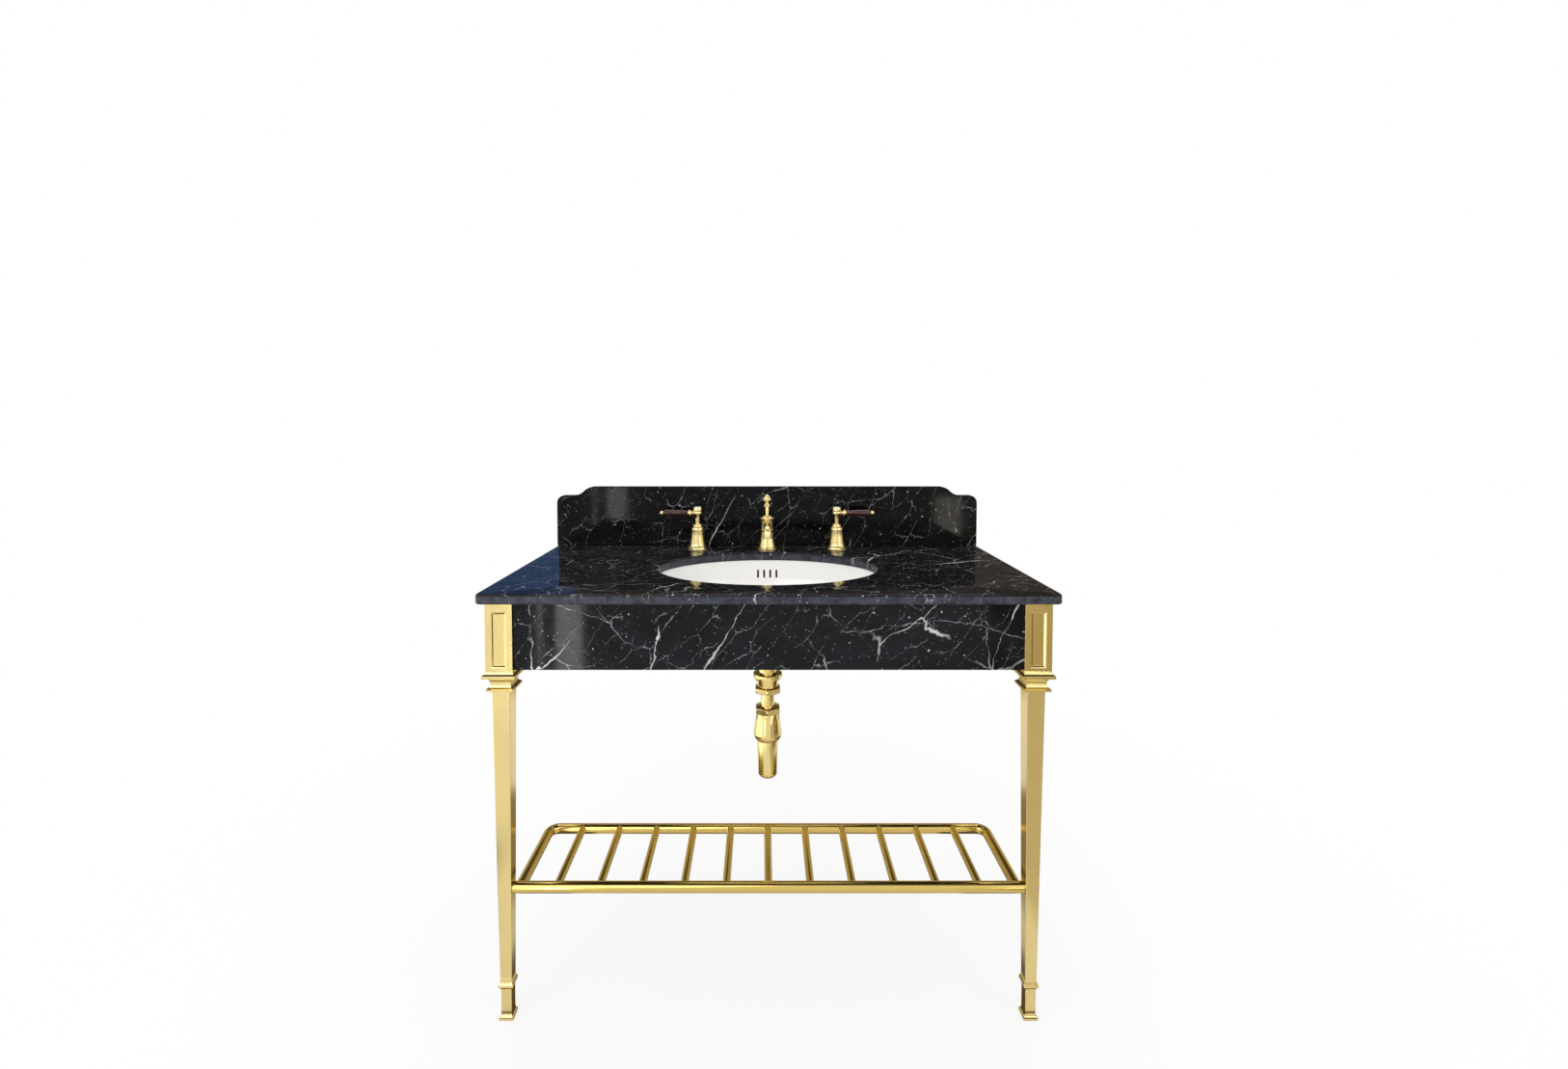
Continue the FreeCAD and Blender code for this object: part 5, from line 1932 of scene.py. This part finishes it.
    def linkage(self) -> None:
        """Make the knob, rods, strap and plug."""
        foot = (0, TAP_Y, TOP_HEIGHT)
        knob = lathe("lift_knob_turned", [
            (0, 112), (5, 112), (11, 113.4), (11, 115), (7.8, 117.4, 6.2, 121.5),
            (8.2, 126.2, 12.8, 129.5), (12.8, 132), (10, 134.8), (5.4, 142.6, 0, 145)], foot)
        stand_for(knob, TAP_BRASS, "lift", "lift_knob")
        rod = lathe("lift_rod_turned", [(0, 700), (2.5, 700), (2.5, 939), (5, 940), (5, 992), (0, 992)],
                    (0, TAP_Y, 0))
        stand_for(rod, TAP_BRASS, "lift", "lift_rod")
        for node, body in (("lift_strap", "lift"), ("pivot_rod", "pivot"), ("plug", "stopper")):
            stand_in_copies(PIPE_BRASS, body, node)
        stand_in_copies(SEAL_RUBBER, "stopper", "plug_seal")


# Rack

@dataclass
class Rack:
    """Towel rack between the legs, in millimetres."""

    level: float = 269.0
    front_y: float = -238.0
    back_y: float = -38.0
    end_x: float = 506.0
    rail: float = 11.0
    corner: float = 22.0
    bar: float = 8.0
    bar_lift: float = 2.0
    pitch: float = 86.0
    count: int = 11
    let_in: float = 4.0
    end_lap: float = 6.0

    def build(self) -> None:
        """Make the rails and the bars."""
        reach = box_of("leg_shaft_right")[0].x + self.let_in
        straight = self.end_x - self.corner
        for word, half, y in (("front", reach, self.front_y), ("back", straight, self.back_y)):
            ends = [(-half, y, self.level), (half, y, self.level)]
            rail = round_bar(f"rack_{word}_rail_tube", ends, self.rail, SHADED_RAIL_BRASS)
            stand_for(rail, SHADED_RAIL_BRASS, "console", f"rack_{word}_rail")
        for side in Side:
            x = side.value * self.end_x
            path = bent_path(Vector((x, self.front_y + self.end_lap, self.level)),
                             Vector((x, self.back_y, self.level)),
                             Vector((side.value * straight, self.back_y, self.level)), self.corner)
            rail = round_bar(f"rack_side_{side.word}_tube", path[:-1], self.rail, SHADED_RAIL_BRASS)
            stand_for(rail, SHADED_RAIL_BRASS, "console", f"rack_side_{side.word}")
        stand_for(self.bars(), SHADED_RAIL_BRASS, "console", "rack_bars")

    def bars(self) -> Piece:
        """Row of round bars let into the two long rails.

        Returns:
            The row as one piece.
        """
        first = Vector((-(self.count - 1) / 2 * self.pitch, (self.front_y + self.back_y) / 2,
                        self.level + self.bar_lift)) * MM
        recipe = Recipe("bar_row", {
            "Count": ("NodeSocketInt", self.count), "Pitch": ("NodeSocketFloat", self.pitch * MM),
            "Radius": ("NodeSocketFloat", self.bar * MM),
            "Length": ("NodeSocketFloat", (self.back_y - self.front_y - self.rail) * MM),
            "First": ("NodeSocketVector", first),
            "Finish": ("NodeSocketMaterial", SHADED_RAIL_BRASS.material())})
        tree, given = recipe.tree, recipe.given
        step = tree.add("ShaderNodeCombineXYZ", {"X": given["Pitch"]}).outputs[0]
        line = tree.add("GeometryNodeMeshLine", {
            "Count": given["Count"], "Start Location": given["First"], "Offset": step}).outputs[0]
        bar = tree.add("GeometryNodeMeshCylinder", {
            "Vertices": 64, "Side Segments": 1, "Radius": given["Radius"],
            "Depth": given["Length"]}).outputs[0]
        recipe.finish(tree.add("GeometryNodeInstanceOnPoints", {
            "Points": line, "Instance": bar, "Rotation": (math.pi / 2, 0, 0)}).outputs[0])
        row = recipe.apply(seed_piece("rack_bars_row"))
        shade_smooth(row.data)
        return row


def dress_frame() -> None:
    """Give the steel frame and its bolts their finish."""
    stand_in_copies(FRAME_STEEL, "console", "frame_rails", "wall_rail", "leg_brackets",
                    "bracket_bolts")


# Studio

@dataclass(frozen=True)
class Lamp:
    """Soft box, in metres and watts."""

    name: str
    place: Triple
    aim: Triple
    size: Flat
    power: float

    def build(self) -> None:
        """Hang the lamp."""
        data = bpy.data.lights.new(self.name, "AREA")
        data.shape = "RECTANGLE"
        data.size, data.size_y = self.size
        data.energy = self.power
        lamp = new_object(self.name, data)
        lamp.location = self.place
        way = Vector(self.aim) - Vector(self.place)
        lamp.rotation_euler = way.to_track_quat("-Z", "Y").to_euler()


@dataclass(frozen=True)
class Card:
    """Plain board that only reflections show, in metres."""

    name: str
    place: Triple
    facing: Facing
    size: Flat
    colour: Colour
    strength: float = 1.0

    def build(self) -> None:
        """Stand the board up."""
        half_x, half_y = self.size[0] / 2, self.size[1] / 2
        turn = Vector(self.facing.value).to_track_quat("Z", "Y").to_matrix()
        corners = ((-half_x, -half_y), (half_x, -half_y), (half_x, half_y), (-half_x, half_y))
        points = [(turn @ Vector((x, y, 0)) + Vector(self.place)) / MM for x, y in corners]
        board = make_piece(self.name, points, [[0, 1, 2, 3]])
        board.visible_camera = False
        board.visible_diffuse = False
        board.visible_shadow = False
        made, tree = new_material(self.name)
        values = {"Color": (*self.colour, 1.0), "Strength": self.strength}
        glow = tree.add("ShaderNodeEmission", values).outputs[0]
        tree.join(glow, made.node_tree.nodes["Material Output"].inputs["Surface"])
        board.data.materials.append(made)


WHITE: Colour = (1.0, 1.0, 1.0)
DIM_BROWN: Colour = (0.10, 0.07, 0.03)
LAMPS = (
    Lamp("key_box", (-1.7, -2.6, 2.7), (0.0, 0.0, 0.6), (3.4, 2.6), 46.0),
    Lamp("fill_box", (2.3, -2.0, 1.9), (0.0, 0.0, 0.6), (1.8, 2.0), 14.0),
    Lamp("top_box", (0.0, 0.45, 2.9), (0.0, 0.0, 0.8), (2.4, 1.6), 20.0))
CARDS = (
    Card("back_card", (0.5, 1.6, 1.6), Facing.FRONT, (5.0, 1.4), (0.085, 0.068, 0.046)),
    Card("blue_card", (-1.28, 1.5, 1.34), Facing.FRONT, (0.8, 0.6), (0.055, 0.11, 0.25)),
    Card("roof_card", (0.0, -0.2, 3.2), Facing.DOWN, (4.4, 3.4), (0.10, 0.10, 0.10)),
    Card("right_card", (1.6, -0.6, 0.45), Facing.LEFT, (1.5, 0.9), (0.20, 0.15, 0.07)),
    Card("left_card", (-1.4, -0.55, 0.4), Facing.RIGHT, (1.9, 0.8), (1.0, 0.98, 0.94), 2.2),
    Card("shade_front", (1.45, -2.05, 0.3), Facing.BACK, (0.8, 0.6), (0.45, 0.40, 0.28)),
    Card("shade_floor", (1.25, -1.3, 0.01), Facing.UP, (1.2, 1.9), (0.62, 0.58, 0.46)),
    Card("shade_under", (0.0, 0.25, 0.006), Facing.UP, (0.8, 0.7), (0.25, 0.2, 0.12)),
    Card("shade_left", (-0.82, 0.12, 0.006), Facing.UP, (0.72, 0.76), DIM_BROWN),
    Card("shade_right", (0.82, 0.12, 0.006), Facing.UP, (0.72, 0.76), DIM_BROWN),
    Card("fore_left", (-0.97, -0.48, 0.006), Facing.UP, (0.46, 0.6), DIM_BROWN),
    Card("fore_right", (0.97, -0.48, 0.006), Facing.UP, (0.46, 0.6), DIM_BROWN),
    Card("low_card", (0.0, 0.75, 0.55), Facing.FRONT, (3.0, 0.56), (0.5, 0.43, 0.27)),
    Card("window_wide", (-0.9, -2.0, 0.45), Facing.BACK, (0.12, 0.85), WHITE, 8.5),
    Card("window_thin", (-1.035, -2.0, 0.45), Facing.BACK, (0.018, 0.85), WHITE, 9.0),
    Card("window_right", (1.12, -2.0, 0.66), Facing.BACK, (0.16, 0.24), (1.0, 0.93, 0.78), 7.0))


@dataclass
class Studio:
    """Camera, floor, background and light."""

    eye: Triple = (-0.0115, -1.582, 1.208)
    focal_px: float = 700.0
    frame_px: tuple[int, int] = (1626, 1109)
    tilt: float = 2.0
    shift_px: Flat = (22.0, 88.0)
    sensor: float = 36.0
    floor_size: float = 14.0
    floor_glow: float = 0.78
    floor_fade: Flat = (0.5, 1.9)
    world_glow: float = 0.74

    def build(self) -> None:
        """Set everything up."""
        bpy.context.scene.view_settings.view_transform = "Standard"
        self.camera()
        self.floor()
        self.world()
        for stand in (*LAMPS, *CARDS):
            stand.build()

    def camera(self) -> None:
        """Place the camera where the photograph was taken from."""
        data = bpy.data.cameras.new("viewpoint")
        data.sensor_width = self.sensor
        data.lens = self.focal_px / self.frame_px[0] * self.sensor
        data.shift_x = self.shift_px[0] / self.frame_px[0]
        data.shift_y = -self.shift_px[1] / self.frame_px[0]
        data.clip_start, data.clip_end = 0.05, 60.0
        eye = new_object("viewpoint", data)
        eye.location = self.eye
        eye.rotation_euler = (math.radians(90 - self.tilt), 0, 0)
        bpy.context.scene.camera = eye

    def floor(self) -> None:
        """Lay a pale floor that fades into the background."""
        half = self.floor_size / 2 / MM
        corners = [(-half, -half, 0), (half, -half, 0), (half, half, 0), (-half, half, 0)]
        floor = make_piece("floor", corners, [[0, 1, 2, 3]])
        made, tree = new_material("pale_floor")
        nodes = made.node_tree.nodes
        shader = nodes["Principled BSDF"]
        grain = tree.noise(tree.place(), 30.0).outputs[0]
        pale = tree.mix(grain, (0.89, 0.89, 0.885), (0.91, 0.91, 0.905))
        tree.join(pale, shader.inputs["Base Color"])
        shader.inputs["Roughness"].default_value = 0.9
        shader.inputs["Specular IOR Level"].default_value = 0.1
        camera_ray, sharp_ray = tree.rays()
        near = tree.math("MULTIPLY", camera_ray, self.floor_glow)
        fade = tree.span(tree.length(tree.place()), *self.floor_fade, near, 1.0)
        values = {"Color": (*WHITE, 1.0), "Strength": 1.0}
        blend = tree.add("ShaderNodeMixShader", {
            0: tree.math("MULTIPLY", sharp_ray, fade), 1: shader.outputs[0],
            2: tree.add("ShaderNodeEmission", values).outputs[0]}).outputs[0]
        tree.join(blend, nodes["Material Output"].inputs["Surface"])
        floor.data.materials.append(made)

    def world(self) -> None:
        """White behind the object, softer where it only lights it."""
        world = bpy.data.worlds.new("white_studio")
        bpy.context.scene.world = world
        world.use_nodes = True
        tree = Tree(world.node_tree)
        soft = world.node_tree.nodes["Background"]
        soft.inputs["Color"].default_value = (*WHITE, 1.0)
        soft.inputs["Strength"].default_value = self.world_glow
        values = {"Color": (*WHITE, 1.0), "Strength": 1.0}
        blend = tree.add("ShaderNodeMixShader", {
            0: tree.rays()[1], 1: soft.outputs[0],
            2: tree.add("ShaderNodeBackground", values).outputs[0]}).outputs[0]
        tree.join(blend, world.node_tree.nodes["World Output"].inputs["Surface"])


def main() -> None:
    """Build the washstand and its studio."""
    logging.basicConfig(level=logging.INFO, format="%(message)s")
    for assembly in (Stonework(), Legs(), Basin(), Trap(), TapSet(), Rack()):
        LOG.info("building %s", type(assembly).__name__)
        assembly.build()
    dress_frame()
    Studio().build()


if __name__ == "__main__":
    main()
